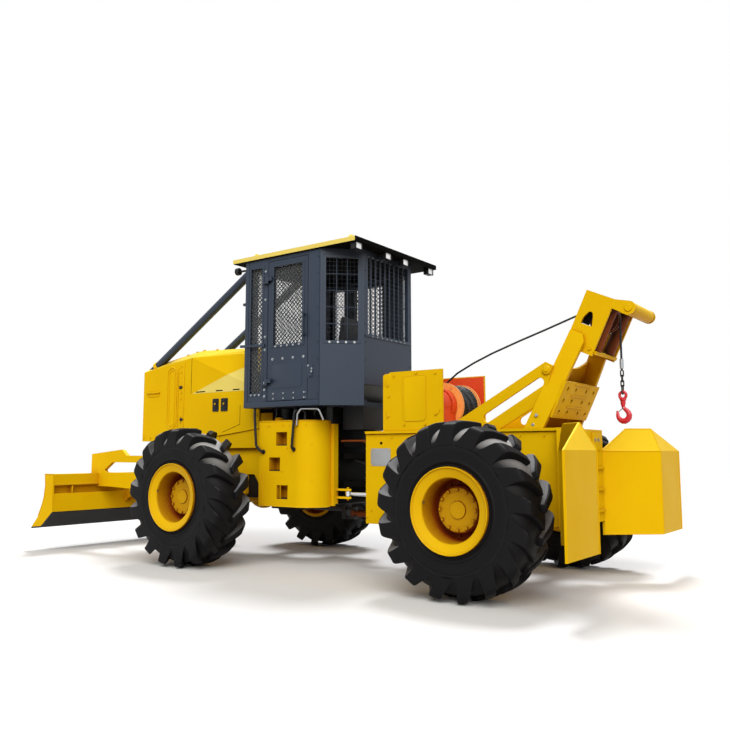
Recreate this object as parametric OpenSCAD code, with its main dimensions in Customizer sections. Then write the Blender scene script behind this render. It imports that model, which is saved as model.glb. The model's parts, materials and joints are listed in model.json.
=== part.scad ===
// Articulated cable skidder: front half with blade, engine and cab, rear half with winch and arch.
// Millimetres. X runs forward, Y to the left, Z up. Inside the modules x is measured from the rear
// axle, and place() moves everything so that the origin is at the middle of the footprint.

/* [Wheels] */
// Outer diameter of a tyre over its lugs
tyre_d = 1460; // [1400:10:1520]
// Width of a tyre
tyre_w = 467; // [440:1:490]
// Diameter over the rim flanges
rim_d = 708; // [680:2:730]
// Distance between the axles
wheelbase = 3340; // [3300:10:3420]
// Distance between the middles of two tyres on one axle
track = 2360; // [2340:5:2440]
// Lugs on each side of a tyre
lug_count = 17; // [14:1:18]
// Height of a lug above the tread
lug_h = 46; // [35:1:55]
// Width of a lug along the tread
lug_t = 74; // [60:1:85]

/* [Frames] */
// Outer width of the front frame
front_w = 840; // [800:10:860]
// Outer width of the rear frame
rear_w = 900; // [880:10:940]
// Thickness of the frame side plates
plate_t = 30; // [20:1:36]
// Distance of the frame joint from the rear axle
pivot_x = 1700; // [1690:5:1710]
// Radius of the frame joint's pins
pin_r = 40; // [34:1:46]
// Height of the upper frame joint
upper_z = 1220; // [1200:5:1240]
// Height of the lower frame joint
lower_z = 800; // [790:5:810]
// Top of the rear frame
rear_top_z = 1385; // [1375:5:1395]
// Top of the front frame
deck_z = 1500; // [1490:5:1510]

/* [Cab] */
// Outer width of the cab
cab_w = 1520; // [1500:10:1540]
// Distance of the cab's front from the rear axle
cab_front_x = 2950; // [2940:5:2960]
// Distance of the cab's rear wall from the rear axle
cab_rear_x = 1530; // [1525:5:1550]
// Width of the cab's rear wall
cab_rear_w = 910; // [880:10:920]
// Thickness of the cab walls
wall_t = 45; // [35:1:50]
// Underside of the cab floor
cab_floor_z = 1680; // [1675:1:1690]
// Underside of the roof
roof_z = 3325; // [3300:5:3350]
// Width of the roof
roof_w = 1580; // [1560:10:1600]
// Thickness of the roof plate
roof_t = 45; // [30:1:60]

/* [Hood] */
// Width of the hood
hood_w = 1000; // [980:10:1020]
// Front of the hood from the rear axle
hood_front_x = 5010; // [5000:5:5030]
// Thickness of the hood sheet
hood_t = 12; // [8:1:15]

/* [Blade] */
// Width of the blade
blade_w = 2800; // [2700:10:2820]
// Thickness of the blade's plates
blade_t = 22; // [16:1:26]
// Distance between the middles of the blade arms
arm_track = 1450; // [1440:5:1460]
// Thickness of a blade arm
arm_t = 50; // [40:1:55]

/* [Winch and arch] */
// Radius of the rope wound on the drum
drum_r = 190; // [170:2:195]
// Radius of the drum's flanges
flange_r = 235; // [230:1:240]
// Lean of the arch from upright in degrees
arch_lean = 25; // [24:0.5:26]
// Length of the arch head along its lean
arch_len = 1287; // [1270:1:1300]
// Thickness of the arch plates
arch_t = 45; // [35:1:50]
// Width over the arch head
head_w = 600; // [580:10:620]
// Radius of the guide rollers
roller_r = 50; // [45:1:52]
// Diameter of the winch rope
rope_d = 20; // [18:1:22]

/* [Hidden] */
$fn = 48;

yellow = "#E9C40F";
dark_yellow = "#D98A00";
steel_blue = "#2F3A4A";
black = "#15161A";
silver = "#C9CDD2";
red = "#D8122A";
orange = "#D8401A";

run = 0.05;               // running clearance of pins and shafts
seat_gap = 0.3;           // gap at a seat between moving bodies
tyre_r = tyre_d/2;
rim_r = rim_d/2;
wheel_y = track/2;
axle_z = tyre_r;
front_y = front_w/2;
rear_y = rear_w/2;
cab_y = cab_w/2;
arm_y = arm_track/2;
head_y = head_w/2;

guard_x = -1036;          // rear face of the wheel guards
blade_tip_x = 5969;       // edge of the blade
// Top roller of the arch, the rearmost piece: distance up the lean, distance to the rear
roller_v = 1256;
roller_w = 235;
roller_lug_r = 60;
arch_foot = [-400, rear_top_z];
arch_end_x = arch_foot.x - roller_v*sin(arch_lean) - roller_w*cos(arch_lean) - roller_lug_r;
mid_x = (arch_end_x + blade_tip_x)/2;

module place() { translate([-mid_x, 0, 0]) children(); }
module both() { children(); mirror([0, 1, 0]) children(); }
// A block between two corners
module block(a, b) { translate(a) cube(b - a); }
// A plate cut to an outline in x and z, from y = y0 to y = y1
module side_plate(y0, y1) { translate([0, y1, 0]) rotate([90, 0, 0]) linear_extrude(y1 - y0) children(); }
// A round bar between two points
module bar(a, b, r) {
    d = b - a;
    l = norm(d);
    translate(a) rotate([0, acos(d.z/l), atan2(d.y, d.x)]) cylinder(r = r, h = l);
}
function unit(v) = v/norm(v);
// A route with each inner corner rounded to an arc of radius bend
function rounded(points, bend, steps = 4) = concat([points[0]],
    [for (i = [1:len(points) - 2]) let (
        d1 = unit(points[i] - points[i - 1]),
        d2 = unit(points[i + 1] - points[i]),
        turn = acos(d1*d2),
        c = points[i] + unit(d2 - d1)*bend/cos(turn/2),
        e = unit(points[i] - d1*bend*tan(turn/2) - c))
        for (k = [0:steps]) c + bend*(e*cos(turn*k/steps) + d1*sin(turn*k/steps))],
    [points[len(points) - 1]]);
// Direction of a route at point i, and a normal carried along it without twist
function heading(path, i) = unit(path[min(i + 1, len(path) - 1)] - path[max(i - 1, 0)]);
function flat_to(n, t) = unit(n - t*(n*t));
function normals(path, n, i = 0) = i == len(path) ? [] :
    let (m = flat_to(n, heading(path, i))) concat([m], normals(path, m, i + 1));
// A round tube along a route
module tube(path, r, sides = 10) {
    n = len(path);
    side = normals(path, abs(heading(path, 0).z) > 0.9 ? [1, 0, 0] : [0, 0, 1]);
    polyhedron(
        points = [for (i = [0:n - 1]) let (b = cross(heading(path, i), side[i]))
            for (k = [0:sides - 1]) path[i] + r*(side[i]*cos(360*k/sides) + b*sin(360*k/sides))],
        faces = concat([[for (k = [0:sides - 1]) k]], [[for (k = [sides - 1:-1:0]) (n - 1)*sides + k]],
            [for (i = [0:n - 2], k = [0:sides - 1]) let (m = (k + 1) % sides)
                [i*sides + k, (i + 1)*sides + k, (i + 1)*sides + m, i*sides + m]]));
}
module disc_y(x, y0, y1, z, r) { translate([x, y1, z]) rotate([90, 0, 0]) cylinder(r = r, h = y1 - y0); }

// Wheels
hub_face = 78;            // outer face of the hub from the wheel's middle
hub_back = -120;          // inner face of the hub
spindle_r = 60;
// Section of the rim and hub: distance outward from the wheel's middle, radius
rim_section = [[hub_back, spindle_r + run], [hub_back, 165], [-70, 175], [-70, 312], [-235, 318],
    [-235, rim_r], [-215, rim_r], [-215, rim_r - 23], [215, rim_r - 23], [215, rim_r], [250, rim_r],
    [250, rim_r - 8], [205, 262], [-36, 250], [-36, 204], [hub_face - 8, 190], [hub_face, 182], [hub_face, 0],
    [-20, 0],
    [-20, spindle_r + run]];
tread_r = tyre_r - lug_h;
half_w = tyre_w/2;
bead_r = rim_r - 23 + seat_gap;
// Section of the tyre without its lugs
tyre_section = [[-214.5, bead_r], [214.5, bead_r], [214.5, rim_r + 18], [half_w - 4, 430], [half_w, 520],
    [half_w - 9, 610], [half_w - 32, tread_r - 22], [half_w - 80, tread_r], [-half_w + 80, tread_r],
    [-half_w + 32, tread_r - 22], [-half_w + 9, 610], [-half_w, 520], [-half_w + 4, 430],
    [-214.5, rim_r + 18]];
// Section that the lugs fill
lug_section = [[-half_w, 600], [half_w, 600], [half_w, tyre_r - 62], [half_w - 22, tyre_r - 22],
    [half_w - 85, tyre_r - 4], [half_w - 140, tyre_r], [-half_w + 140, tyre_r], [-half_w + 85, tyre_r - 4],
    [-half_w + 22, tyre_r - 22], [-half_w, tyre_r - 62]];

module wheel_at(x, side) {
    translate([x, side*wheel_y, axle_z]) scale([1, side, 1]) rotate([-90, 0, 0]) children();
}
module ring(section) { rotate_extrude($fn = 72) polygon([for (p = section) [p.y, p.x]]); }
module rim() { color(yellow) ring(rim_section); }
// One lug: a bar across half the tread, slanted towards the middle
module lug(side, turn) {
    rotate([0, 0, turn]) rotate([0, 90, 0]) linear_extrude(tyre_r + 20)
        polygon([[-side*6, 0], [-side*6, lug_t], [-side*(half_w + 2), lug_t*0.6 + 210],
            [-side*(half_w + 2), 210 - lug_t*0.5]]);
}
module tyre() {
    pitch = 360/lug_count;
    color(black) union() {
        ring(tyre_section);
        intersection() {
            union() for (i = [0:lug_count - 1]) {
                lug(1, i*pitch);
                lug(-1, (i + 0.5)*pitch);
            }
            difference() {
                ring(lug_section);
                translate([0, 0, -half_w - 1]) cylinder(r = 598, h = tyre_w + 2);
            }
        }
    }
}

// Axles
axle_r = 110;
axle_ball_r = 190;
axle_end = wheel_y + hub_back - seat_gap;
module axle(x, frame_y, pad_z) {
    color(yellow) difference() {
        union() {
            disc_y(x, -axle_end, axle_end, axle_z, axle_r);
            both() disc_y(x, axle_end - 60, axle_end, axle_z, 150);
            both() disc_y(x, axle_end - 1, axle_end - hub_back - 22, axle_z, spindle_r);
            translate([x, 0, axle_z]) sphere(r = axle_ball_r);
            both() block([x - 130, frame_y - plate_t - 30, axle_z], [x + 130, frame_y + 30, pad_z]);
        }
    }
}
front_arch_z = 950;       // underside of both frames over the axles
module front_axle() { axle(wheelbase, front_y, front_arch_z); }
module rear_axle() {
    axle(0, rear_y, front_arch_z);
    color(yellow) disc_pinion();
}
// Pinion housing and flange, the rear end of the drive line
shaft_z = 540;
joint_reach = 300;        // each universal joint's distance from the frame joint
rear_joint_x = pivot_x - joint_reach;
front_joint_x = pivot_x + joint_reach;
module disc_pinion() {
    bar([100, 0, axle_z - 60], [rear_joint_x - 330, 0, shaft_z], 90);
    bar([rear_joint_x - 340, 0, shaft_z], [rear_joint_x - 130, 0, shaft_z], 45);
    bar([rear_joint_x - 131, 0, shaft_z], [rear_joint_x - 105, 0, shaft_z], 75);
}

// Front frame
bulkhead_x = 1950;
nose_x = 4760;
arm_x = 4450;             // pivot of the blade arms
arm_z = 820;
arm_pin_r = 45;
lift_y = 300;             // lift cylinders
lift_base = [4860, 1200];
lift_eye = [5450, 660];
front_outline = [[bulkhead_x, 640], [bulkhead_x, deck_z], [2830, deck_z], [2900, 1330], [4700, 1330],
    [nose_x, 1270], [nose_x, 760], [4330, 700], [4150, front_arch_z], [3100, front_arch_z], [2880, 640]];
ear_t = 55;
tongue_t = 60;
steer_eye = [1820, 325];
steer_base = [900, 300];
steer_z = 768;
steer_lug_t = 22;
steer_eye_t = 50;
ear_base = 250;

module ear_plate(z, t, reach, base_y) {
    translate([0, 0, z - t/2]) linear_extrude(t) difference() {
        ear_poly(reach, base_y);
        translate([pivot_x, 0]) circle(r = pin_r + run);
    }
}
// Outline of an ear or tongue: tapers from its base to the round end at the pin
module ear_poly(reach, base_y) {
    s = sign(reach);
    union() {
        translate([pivot_x, 0]) circle(r = 95);
        polygon([[pivot_x, 94], [pivot_x + reach, base_y], [pivot_x + reach, -base_y], [pivot_x, -94]]);
    }
}
ear_shift = tongue_t/2 + 5 + ear_t/2;
module front_frame() {
    color(yellow) difference() {
        union() {
            both() side_plate(front_y - plate_t, front_y) polygon(front_outline);
            block([bulkhead_x, -front_y, 660], [bulkhead_x + 35, front_y, deck_z]);
            block([bulkhead_x, -front_y, deck_z - 20], [2830, front_y, deck_z]);
            block([nose_x - 30, -front_y, 760], [nose_x, front_y, 1270]);
            for (x = [3300, 4300]) block([x, -front_y, 960], [x + 160, front_y, 1050]);
            for (x = [3620, 4560]) both() block([x, front_y - plate_t, 1300], [x + 90, hood_y - hood_t, 1400]);
            disc_y(arm_x, -arm_y - arm_t/2 - 8, arm_y + arm_t/2 + 8, arm_z, arm_pin_r);
            both() disc_y(arm_x, front_y - plate_t, arm_y - arm_t/2 - 6, arm_z, 85);
            for (z = [upper_z, lower_z], s = [-1, 1])
                ear_plate(z + s*ear_shift, ear_t, bulkhead_x + 1 - pivot_x, ear_base);
            both() steer_clevis();
            both() lift_lugs();
        }
        both() disc_y(lift_base.x, lift_y - 61, lift_y + 61, lift_base.y, 22 + run);
    }
}
// Two plates above and below the steering cylinder's eye, with the pin's heads
module steer_clevis() {
    for (s = [-1, 1]) translate([0, 0, steer_z + s*(steer_eye_t/2 + 5 + steer_lug_t/2) - steer_lug_t/2])
        linear_extrude(steer_lug_t) union() {
            translate(steer_eye) circle(r = 48);
            translate([steer_eye.x, steer_eye.y - 48]) square([bulkhead_x + 1 - steer_eye.x, 96]);
        }
    for (s = [-1, 1]) translate([steer_eye.x, steer_eye.y, steer_z + s*(steer_eye_t/2 + 5 + steer_lug_t + 7) - 8])
        cylinder(r = 26, h = 16);
}
// Two ears on the nose for a lift cylinder
module lift_lugs() {
    for (y = [lift_y - 60, lift_y + 38]) side_plate(y, y + 22) union() {
        translate(lift_base) circle(r = 50);
        polygon([[nose_x - 1, 1130], [nose_x - 1, 1268], [lift_base.x, 1250], [lift_base.x, 1150]]);
    }
}
module frame_pins() {
    color(silver) for (z = [upper_z, lower_z])
        translate([pivot_x, 0, z - ear_shift - ear_t/2]) cylinder(r = pin_r, h = 2*ear_shift + ear_t);
}
module transfer_case() {
    color(dark_yellow) difference() {
        transfer_form();
        translate([wheelbase, 0, axle_z]) sphere(r = axle_ball_r);
    }
}
module transfer_form() {
    union() {
        block([2560, -180, 560], [3050, 180, 960]);
        block([2700, -390, 860], [2760, 390, 940]);
        bar([front_joint_x + 110, 0, shaft_z + 60], [2561, 0, shaft_z + 60], 45);
        bar([3049, 0, 640], [wheelbase - 150, 0, axle_z - 30], 40);
        // Yoke with ears above and below the propshaft's eye
        for (z = [shaft_z - 66, shaft_z + 34]) block([front_joint_x - 36, -36, z], [front_joint_x + 85, 36, z + 32]);
        block([front_joint_x + 70, -60, shaft_z - 66], [front_joint_x + 120, 60, shaft_z + 110]);
        translate([front_joint_x, 0, shaft_z - 66]) cylinder(r = 16, h = 132);
    }
}
module propshaft() {
    color(dark_yellow) difference() {
        union() {
            bar([rear_joint_x + 60, 0, shaft_z], [front_joint_x - 64, 0, shaft_z], 38);
            translate([front_joint_x, 0, shaft_z - 28]) cylinder(r = 34, h = 56);
            block([front_joint_x - 80, -20, shaft_z - 20], [front_joint_x - 20, 20, shaft_z + 20]);
            block([rear_joint_x - 20, -45, shaft_z - 20], [rear_joint_x + 80, 45, shaft_z + 20]);
        }
        translate([front_joint_x, 0, shaft_z - 70]) cylinder(r = 16 + run, h = 140);
    }
}
module engine_block() {
    color(black) union() {
        block([3360, -300, 1050], [4440, 300, 1900]);
    }
}

// Hood
hood_y = hood_w/2;
crease_x = 4110;          // where the hood's side starts to narrow
hood_rear_x = 2960;
shoulder_z = 1905;
hood_low_z = 1340;
front_edge_z = 2222;
rear_edge_z = 2352;
// Hood section at x: half width and height of each corner from the bottom up
module hood_slice(x, outline) {
    translate([x, 0, 0]) rotate([90, 0, 90]) linear_extrude(1)
        polygon(concat([for (p = outline) p], [for (i = [len(outline) - 1:-1:0]) [-outline[i].x, outline[i].y]]));
}
module hood_form(t) {
    y = hood_y - t;
    // front part up to the crease
    hull() {
        hood_slice(hood_front_x - 1 - t, [[y, hood_low_z], [y, front_edge_z - t], [y - 170, front_edge_z + 105 - t]]);
        hood_slice(crease_x, [[y, hood_low_z], [y, rear_edge_z - t], [y - 170, rear_edge_z + 105 - t]]);
    }
    // upper rear part, narrower towards the cab
    hull() {
        hood_slice(crease_x, [[y, shoulder_z], [y, rear_edge_z - t], [y - 170, rear_edge_z + 105 - t]]);
        hood_slice(hood_rear_x, [[y, shoulder_z], [y - 110, shoulder_z + 290], [y - 120, rear_edge_z - t],
            [y - 170, rear_edge_z + 60 - t]]);
    }
    hull() {
        hood_slice(crease_x, [[y, hood_low_z], [y, shoulder_z]]);
        hood_slice(hood_rear_x, [[y, hood_low_z + 130], [y, shoulder_z]]);
    }
}
module hood() {
    color(yellow) difference() {
        hood_form(0);
        hood_form(hood_t);
        block([hood_rear_x - 10, -hood_y + hood_t, hood_low_z - 10], [hood_front_x - hood_t, hood_y - hood_t, 1500]);
        block([hood_front_x - 40, -370, 1450], [hood_front_x + 10, 370, 2120]);
        block([hood_rear_x - 5, -370, 1500], [hood_rear_x + 5, 370, 2330]);
    }
}
slat_count = 11;
module hood_grille() {
    color(black) for (i = [0:slat_count - 1])
        translate([hood_front_x - hood_t - 16, -385, 1440 + 10 + i*63]) cube([16, 770, 40]);
}

// Step tanks between the frame and the front tyres
tank_y = cab_y - 60;
tank_x = [1990, 2765];
tank_bend_r = 250;        // round rear corner
tank_z = [630, 1530];
// Step holes: x and z of the middle
steps = [[2440, 1342], [2537, 1073], [2424, 781]];
module tank_form() {
    block([tank_x[0] + tank_bend_r, front_y, tank_z[0]], [tank_x[1], tank_y, tank_z[1]]);
    intersection() {
        translate([tank_x[0] + tank_bend_r, tank_y - tank_bend_r, tank_z[0]])
            cylinder(r = tank_bend_r, h = tank_z[1] - tank_z[0]);
        block([tank_x[0] - 1, front_y, tank_z[0]], [tank_x[0] + tank_bend_r + 1, tank_y + 1, tank_z[1]]);
    }
}
module step_tanks() {
    color(yellow) both() difference() {
        tank_form();
        for (s = steps) block([s.x - 78, tank_y - 120, s.y - 72], [s.x + 78, tank_y + 1, s.y + 72]);
    }
}
rail_r = 14;
rail_y = tank_y + 40;
// Routes of the two grab rails on each side: tank top to tank side, cab floor to tank side
rear_rail = [[2172, 630, tank_z[1]], [2172, 630, 1640], [2225, rail_y, 1640], [2262, rail_y, 1230],
    [2262, tank_y, 1230]];
front_rail = [[2800, rail_y, cab_floor_z], [2800, rail_y, 1590], [2772, rail_y, 1270], [2695, rail_y, 1205],
    [2695, tank_y, 1205]];
module grab_rails() {
    color(black) both() {
        tube(rounded(rear_rail, 34), rail_r);
        tube(rounded(front_rail, 34), rail_r);
    }
}

// Cab
mount_r = 60;
module cab_mounts() {
    color(black) for (x = [2060, 2720]) both() translate([x, 320, deck_z]) cylinder(r = mount_r, h = cab_floor_z - deck_z);
}
module cab_underbox() {
    color(black) block([1660, -290, 1440], [1930, 290, cab_floor_z]);
}
rear_half = cab_rear_w/2;
quarter_x = 1870;         // where the side bends towards the rear wall
floor_t = 60;
wall_z = cab_floor_z + floor_t;
bend_dx = quarter_x - cab_rear_x;
bend_dy = cab_y - rear_half;
bend_l = norm([bend_dx, bend_dy]);
// Inner corners of the walls, at the mitres
in_front = cab_front_x - wall_t;
in_y = cab_y - wall_t;
off_p = [quarter_x + wall_t*bend_dy/bend_l, cab_y - wall_t*bend_dx/bend_l];
in_bend_x = off_p.x + (in_y - off_p.y)*bend_dx/bend_dy;
in_rear_x = cab_rear_x + wall_t;
in_rear_y = off_p.y - (off_p.x - in_rear_x)*bend_dy/bend_dx;
recess_z = 1900;          // lower edge of the rear wall, over the winch's path
recess_x = 1730;
door_x = [2040, 2600];
door_z = [wall_z + 6, roof_z - 50];
window_top = roof_z - 95; // of the windscreen, the side meshes and the oblique windows
sill_z = 2344;
pull_z = [2420, 2640];    // ends of the door pull
module cab_floor() {
    color(steel_blue) translate([0, 0, cab_floor_z]) linear_extrude(floor_t) polygon([[cab_front_x, cab_y],
        [quarter_x, cab_y], [cab_rear_x, rear_half], [cab_rear_x, rear_half - wall_t - 5],
        [recess_x, rear_half - wall_t - 5], [recess_x, -rear_half + wall_t + 5],
        [cab_rear_x, -rear_half + wall_t + 5], [cab_rear_x, -rear_half], [quarter_x, -cab_y],
        [cab_front_x, -cab_y]]);
}
screen_y = cab_y - 160;
module cab_front() {
    color(steel_blue) difference() {
        translate([0, 0, wall_z]) linear_extrude(roof_z - wall_z)
            polygon([[cab_front_x, cab_y], [in_front, in_y], [in_front, -in_y], [cab_front_x, -cab_y]]);
        block([in_front - 1, -screen_y, 2100], [cab_front_x + 1, screen_y, window_top]);
    }
}
module cab_sides() {
    color(steel_blue) both() difference() {
        translate([0, 0, wall_z]) linear_extrude(roof_z - wall_z)
            polygon([[cab_front_x, cab_y], [quarter_x, cab_y], [in_bend_x, in_y], [in_front, in_y]]);
        block([door_x[0] - 6, in_y - 1, wall_z - 1], [door_x[1] + 6, cab_y + 1, door_z[1] + 6]);
        block([2690, in_y - 1, 1830], [2870, cab_y + 1, window_top]);
    }
    color(steel_blue) both() for (z = hinge_z) {
        block([door_x[1] + 8, cab_y - 1, z - 46], [door_x[1] + 60, hinge_y + 14, z - 26]);
        translate([hinge_x, hinge_y, z - 46]) cylinder(r = 20, h = 20);
        translate([hinge_x, hinge_y, z - 26]) cylinder(r = 9, h = 54);
        block([hinge_x, hinge_y - 14, z - 46], [door_x[1] + 60, hinge_y + 14, z - 26]);
    }
}
hinge_x = door_x[1] + 3;
hinge_y = cab_y + 22;
hinge_z = [1960, roof_z - 245];
module quarter_window() {
    translate([(quarter_x + cab_rear_x)/2, (cab_y + rear_half)/2, 0])
        rotate([0, 0, atan2(bend_dy, bend_dx)])
            translate([-170, -90, sill_z]) cube([345, 180, window_top - sill_z]);
}
module cab_quarters() {
    color(steel_blue) both() difference() {
        translate([0, 0, wall_z]) linear_extrude(roof_z - wall_z)
            polygon([[quarter_x, cab_y], [cab_rear_x, rear_half], [in_rear_x, in_rear_y], [in_bend_x, in_y]]);
        quarter_window();
    }
}
rear_window_y = 385;
rear_window_z = [2431, roof_z - 60];
rear_bar_count = 8;
rear_bar_step = 88;
module cab_rear() {
    color(steel_blue) difference() {
        union() {
            translate([0, 0, recess_z]) linear_extrude(roof_z - recess_z)
                polygon([[cab_rear_x, rear_half], [in_rear_x, in_rear_y], [in_rear_x, -in_rear_y], [cab_rear_x, -rear_half]]);
            side_plate(-in_rear_y, in_rear_y) polygon([[in_rear_x - 1, recess_z + 30], [recess_x + 30, wall_z + 30],
                [recess_x + 30, wall_z], [recess_x, wall_z], [in_rear_x - 1, recess_z]]);
            both() side_plate(in_rear_y - 30, in_rear_y) polygon([[in_rear_x, wall_z], [in_rear_x, recess_z + 1],
                [recess_x + 1, wall_z]]);
        }
        block([cab_rear_x - 1, -rear_window_y, rear_window_z[0]], [in_rear_x + 1, rear_window_y, rear_window_z[1]]);
    }
    color(steel_blue) for (i = [0:rear_bar_count - 1])
        translate([in_rear_x - wall_t/2, (i - (rear_bar_count - 1)/2)*rear_bar_step, rear_window_z[0] - 5])
            cylinder(r = 11, h = rear_window_z[1] - rear_window_z[0] + 10);
}
roof_x = [1395, 3130];
// Lifting eyes on the roof
eye_x = [1560, 2900];
eye_y = roof_w/2 - 150;
eye_t = 20;
eye_r = 22;
eye_z = roof_z + roof_t + 30;
module cab_roof() {
    color(yellow) difference() {
        union() {
            block([roof_x[0], -roof_w/2, roof_z], [roof_x[1], roof_w/2, roof_z + roof_t]);
            for (x = eye_x) both() side_plate(eye_y - eye_t/2, eye_y + eye_t/2) union() {
                translate([x, eye_z]) circle(r = 40);
                translate([x - 40, roof_z + roof_t - 1]) square([80, eye_z - roof_z - roof_t + 1]);
            }
        }
        for (x = eye_x) both() disc_y(x, eye_y - eye_t, eye_y + eye_t, eye_z, eye_r);
        block([roof_x[0] + 12, -roof_w/2 + 12, roof_z - 1], [cab_rear_x - 8, roof_w/2 - 12, roof_z + 20]);
        block([cab_front_x + 8, -roof_w/2 + 12, roof_z - 1], [roof_x[1] - 12, roof_w/2 - 12, roof_z + 20]);
    }
}
// Work lamps under the roof's rear edge: y of each
lamp_y = [roof_w/2 - 90, 170, -170, 90 - roof_w/2];
module work_lamps() {
    color(silver) for (y = lamp_y) {
        block([1425, y - 55, roof_z - 105], [1475, y + 55, roof_z - 30]);
        block([1440, y - 12, roof_z - 31], [1460, y + 12, roof_z + 20]);
    }
}
riser_r = 50;
riser_y = 410;
riser_foot = [4950, riser_y, 2241];
riser_head = [roof_x[1] - 40, riser_y, roof_z + 65]; // cut off flush with the roof's front edge
module limb_risers() {
    color(black) both() difference() {
        bar(riser_foot, riser_head, riser_r);
        hood_form(0);
        block([roof_x[1] - 300, 0, roof_z - 300], [roof_x[1], cab_y, roof_z + 200]);
    }
}
module seat() {
    color(black) union() {
        block([2050, -180, wall_z], [2350, 180, 2010]);
        block([2000, -240, 2010], [2480, 240, 2130]);
        side_plate(-230, 230) polygon([[2000, 2130], [2110, 2130], [2010, 2760], [1920, 2760]]);
    }
}
module console() {
    color(black) union() {
        block([2700, -300, wall_z], [in_front - 2, 300, 2180]);
        bar([2700, 0, 2100], [2560, 0, 2330], 25);
        translate([2553, 0, 2342]) rotate([0, -31, 0]) rotate_extrude() translate([180, 0]) circle(r = 15, $fn = 24);
        translate([2553, 0, 2342]) rotate([0, -31, 0]) translate([0, 0, -8]) cylinder(r = 40, h = 16);
        for (a = [0, 120, 240]) translate([2553, 0, 2342]) rotate([0, -31, 0]) rotate([0, 0, a])
            translate([0, -12, -6]) cube([180, 24, 12]);
    }
}
module door() {
    color(steel_blue) difference() {
        union() {
            block([door_x[0], in_y, door_z[0]], [door_x[1], cab_y, door_z[1]]);
            for (z = hinge_z) {
                translate([hinge_x, hinge_y, z - 26 + seat_gap]) cylinder(r = 18, h = 52);
                block([door_x[1] - 70, cab_y - 1, z - 20], [hinge_x - 6, hinge_y + 10, z + 20]);
            }
            for (z = pull_z) block([2066, cab_y - 1, z - 9], [2084, cab_y + 45, z + 9]);
            translate([2075, cab_y + 36, pull_z[0] - 9]) cylinder(r = 9, h = pull_z[1] - pull_z[0] + 18);

        }
        block([2110, in_y - 1, sill_z], [2528, cab_y + 1, door_z[1] - 60]);
        for (z = hinge_z) translate([hinge_x, hinge_y, z - 60]) cylinder(r = 9 + run, h = 120);
    }
}
module door_left() { door(); }
module door_right() { mirror([0, 1, 0]) door(); }

// Blade
blade_y = blade_w/2;
blade_end = [[5540, 935], [5706, 935], [5690, 800], [5715, 620], [5820, 420], [5955, 285], [5754, 302], [5528, 481]];
module blade() {
    color(yellow) union() {
        // curved front plate
        side_plate(-blade_y, blade_y) polygon([[5706, 935], [5690, 800], [5715, 620], [5820, 420], [5955, 285],
            [5925, 292], [5798, 408], [5693, 611], [5667, 800], [5680, 935]]);
        // upper beam, channel back and lower beam
        side_plate(-blade_y, blade_y) polygon([[5540, 800], [5540, 935], [5706, 935], [5690, 800]]);
        side_plate(-blade_y, blade_y) polygon([[5600, 690], [5600, 810], [5692, 810], [5700, 690]]);
        side_plate(-blade_y, blade_y) polygon([[5528, 481], [5540, 700], [5704, 700], [5790, 470], [5760, 420]]);
        both() side_plate(blade_y - blade_t, blade_y) polygon(blade_end);
        both() for (y = [lift_y - 48, lift_y + 30]) side_plate(y, y + 18) union() {
            translate(lift_eye) circle(r = 48);
            polygon([[lift_eye.x, 610], [lift_eye.x, 708], [5541, 708], [5541, 560]]);
        }
    }
}
module cutting_edge() {
    color(black) side_plate(-blade_y + 2, blade_y - 2) polygon([[5528, 481], [5754, 302], [5955, 285],
        [blade_tip_x, 262], [5748, 286], [5519, 468]]);
}
module blade_arms() {
    color(yellow) both() side_plate(arm_y - arm_t/2, arm_y + arm_t/2) difference() {
        union() {
            polygon([[5540, 770], [5540, 935], [5706, 935], [5706, 1180], [5084, 1236], [4985, 1160],
                [4640, 1160], [4380, 875], [4380, 760], [4450, 735], [5290, 770]]);
            translate([arm_x, arm_z]) circle(r = 92);
        }
        polygon([[5430, 978], [5278, 1075], [4800, 1075], [4735, 1000], [4735, 947], [5400, 947]]);
        translate([arm_x, arm_z]) circle(r = arm_pin_r + run);
    }
}
lift_rod_r = 22;
lift_l = norm([lift_eye.x - lift_base.x, lift_eye.y - lift_base.y]);
lift_a = atan2(lift_eye.y - lift_base.y, lift_eye.x - lift_base.x);
module lift_frame() { translate([lift_base.x, 0, lift_base.y]) rotate([0, -lift_a, 0]) children(); }
module along(a, b, r) { translate([a, 0, 0]) rotate([0, 90, 0]) cylinder(r = r, h = b - a); }
module lift_barrels() {
    color(black) both() lift_frame() translate([0, lift_y, 0]) difference() {
        union() {
            along(0, 60, 32);
            along(58, 470, 48);
            rotate([90, 0, 0]) translate([0, 0, -33]) cylinder(r = 42, h = 66);
            rotate([90, 0, 0]) translate([0, 0, -60]) cylinder(r = 22, h = 120);
        }
        along(60, 480, lift_rod_r + run);
    }
}
module lift_rods() {
    color(silver) both() lift_frame() translate([0, lift_y, 0]) union() {
        along(200, lift_l - 20, lift_rod_r);
        translate([lift_l, 0, 0]) rotate([90, 0, 0]) translate([0, 0, -25]) cylinder(r = 40, h = 50);
    }
}

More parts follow.
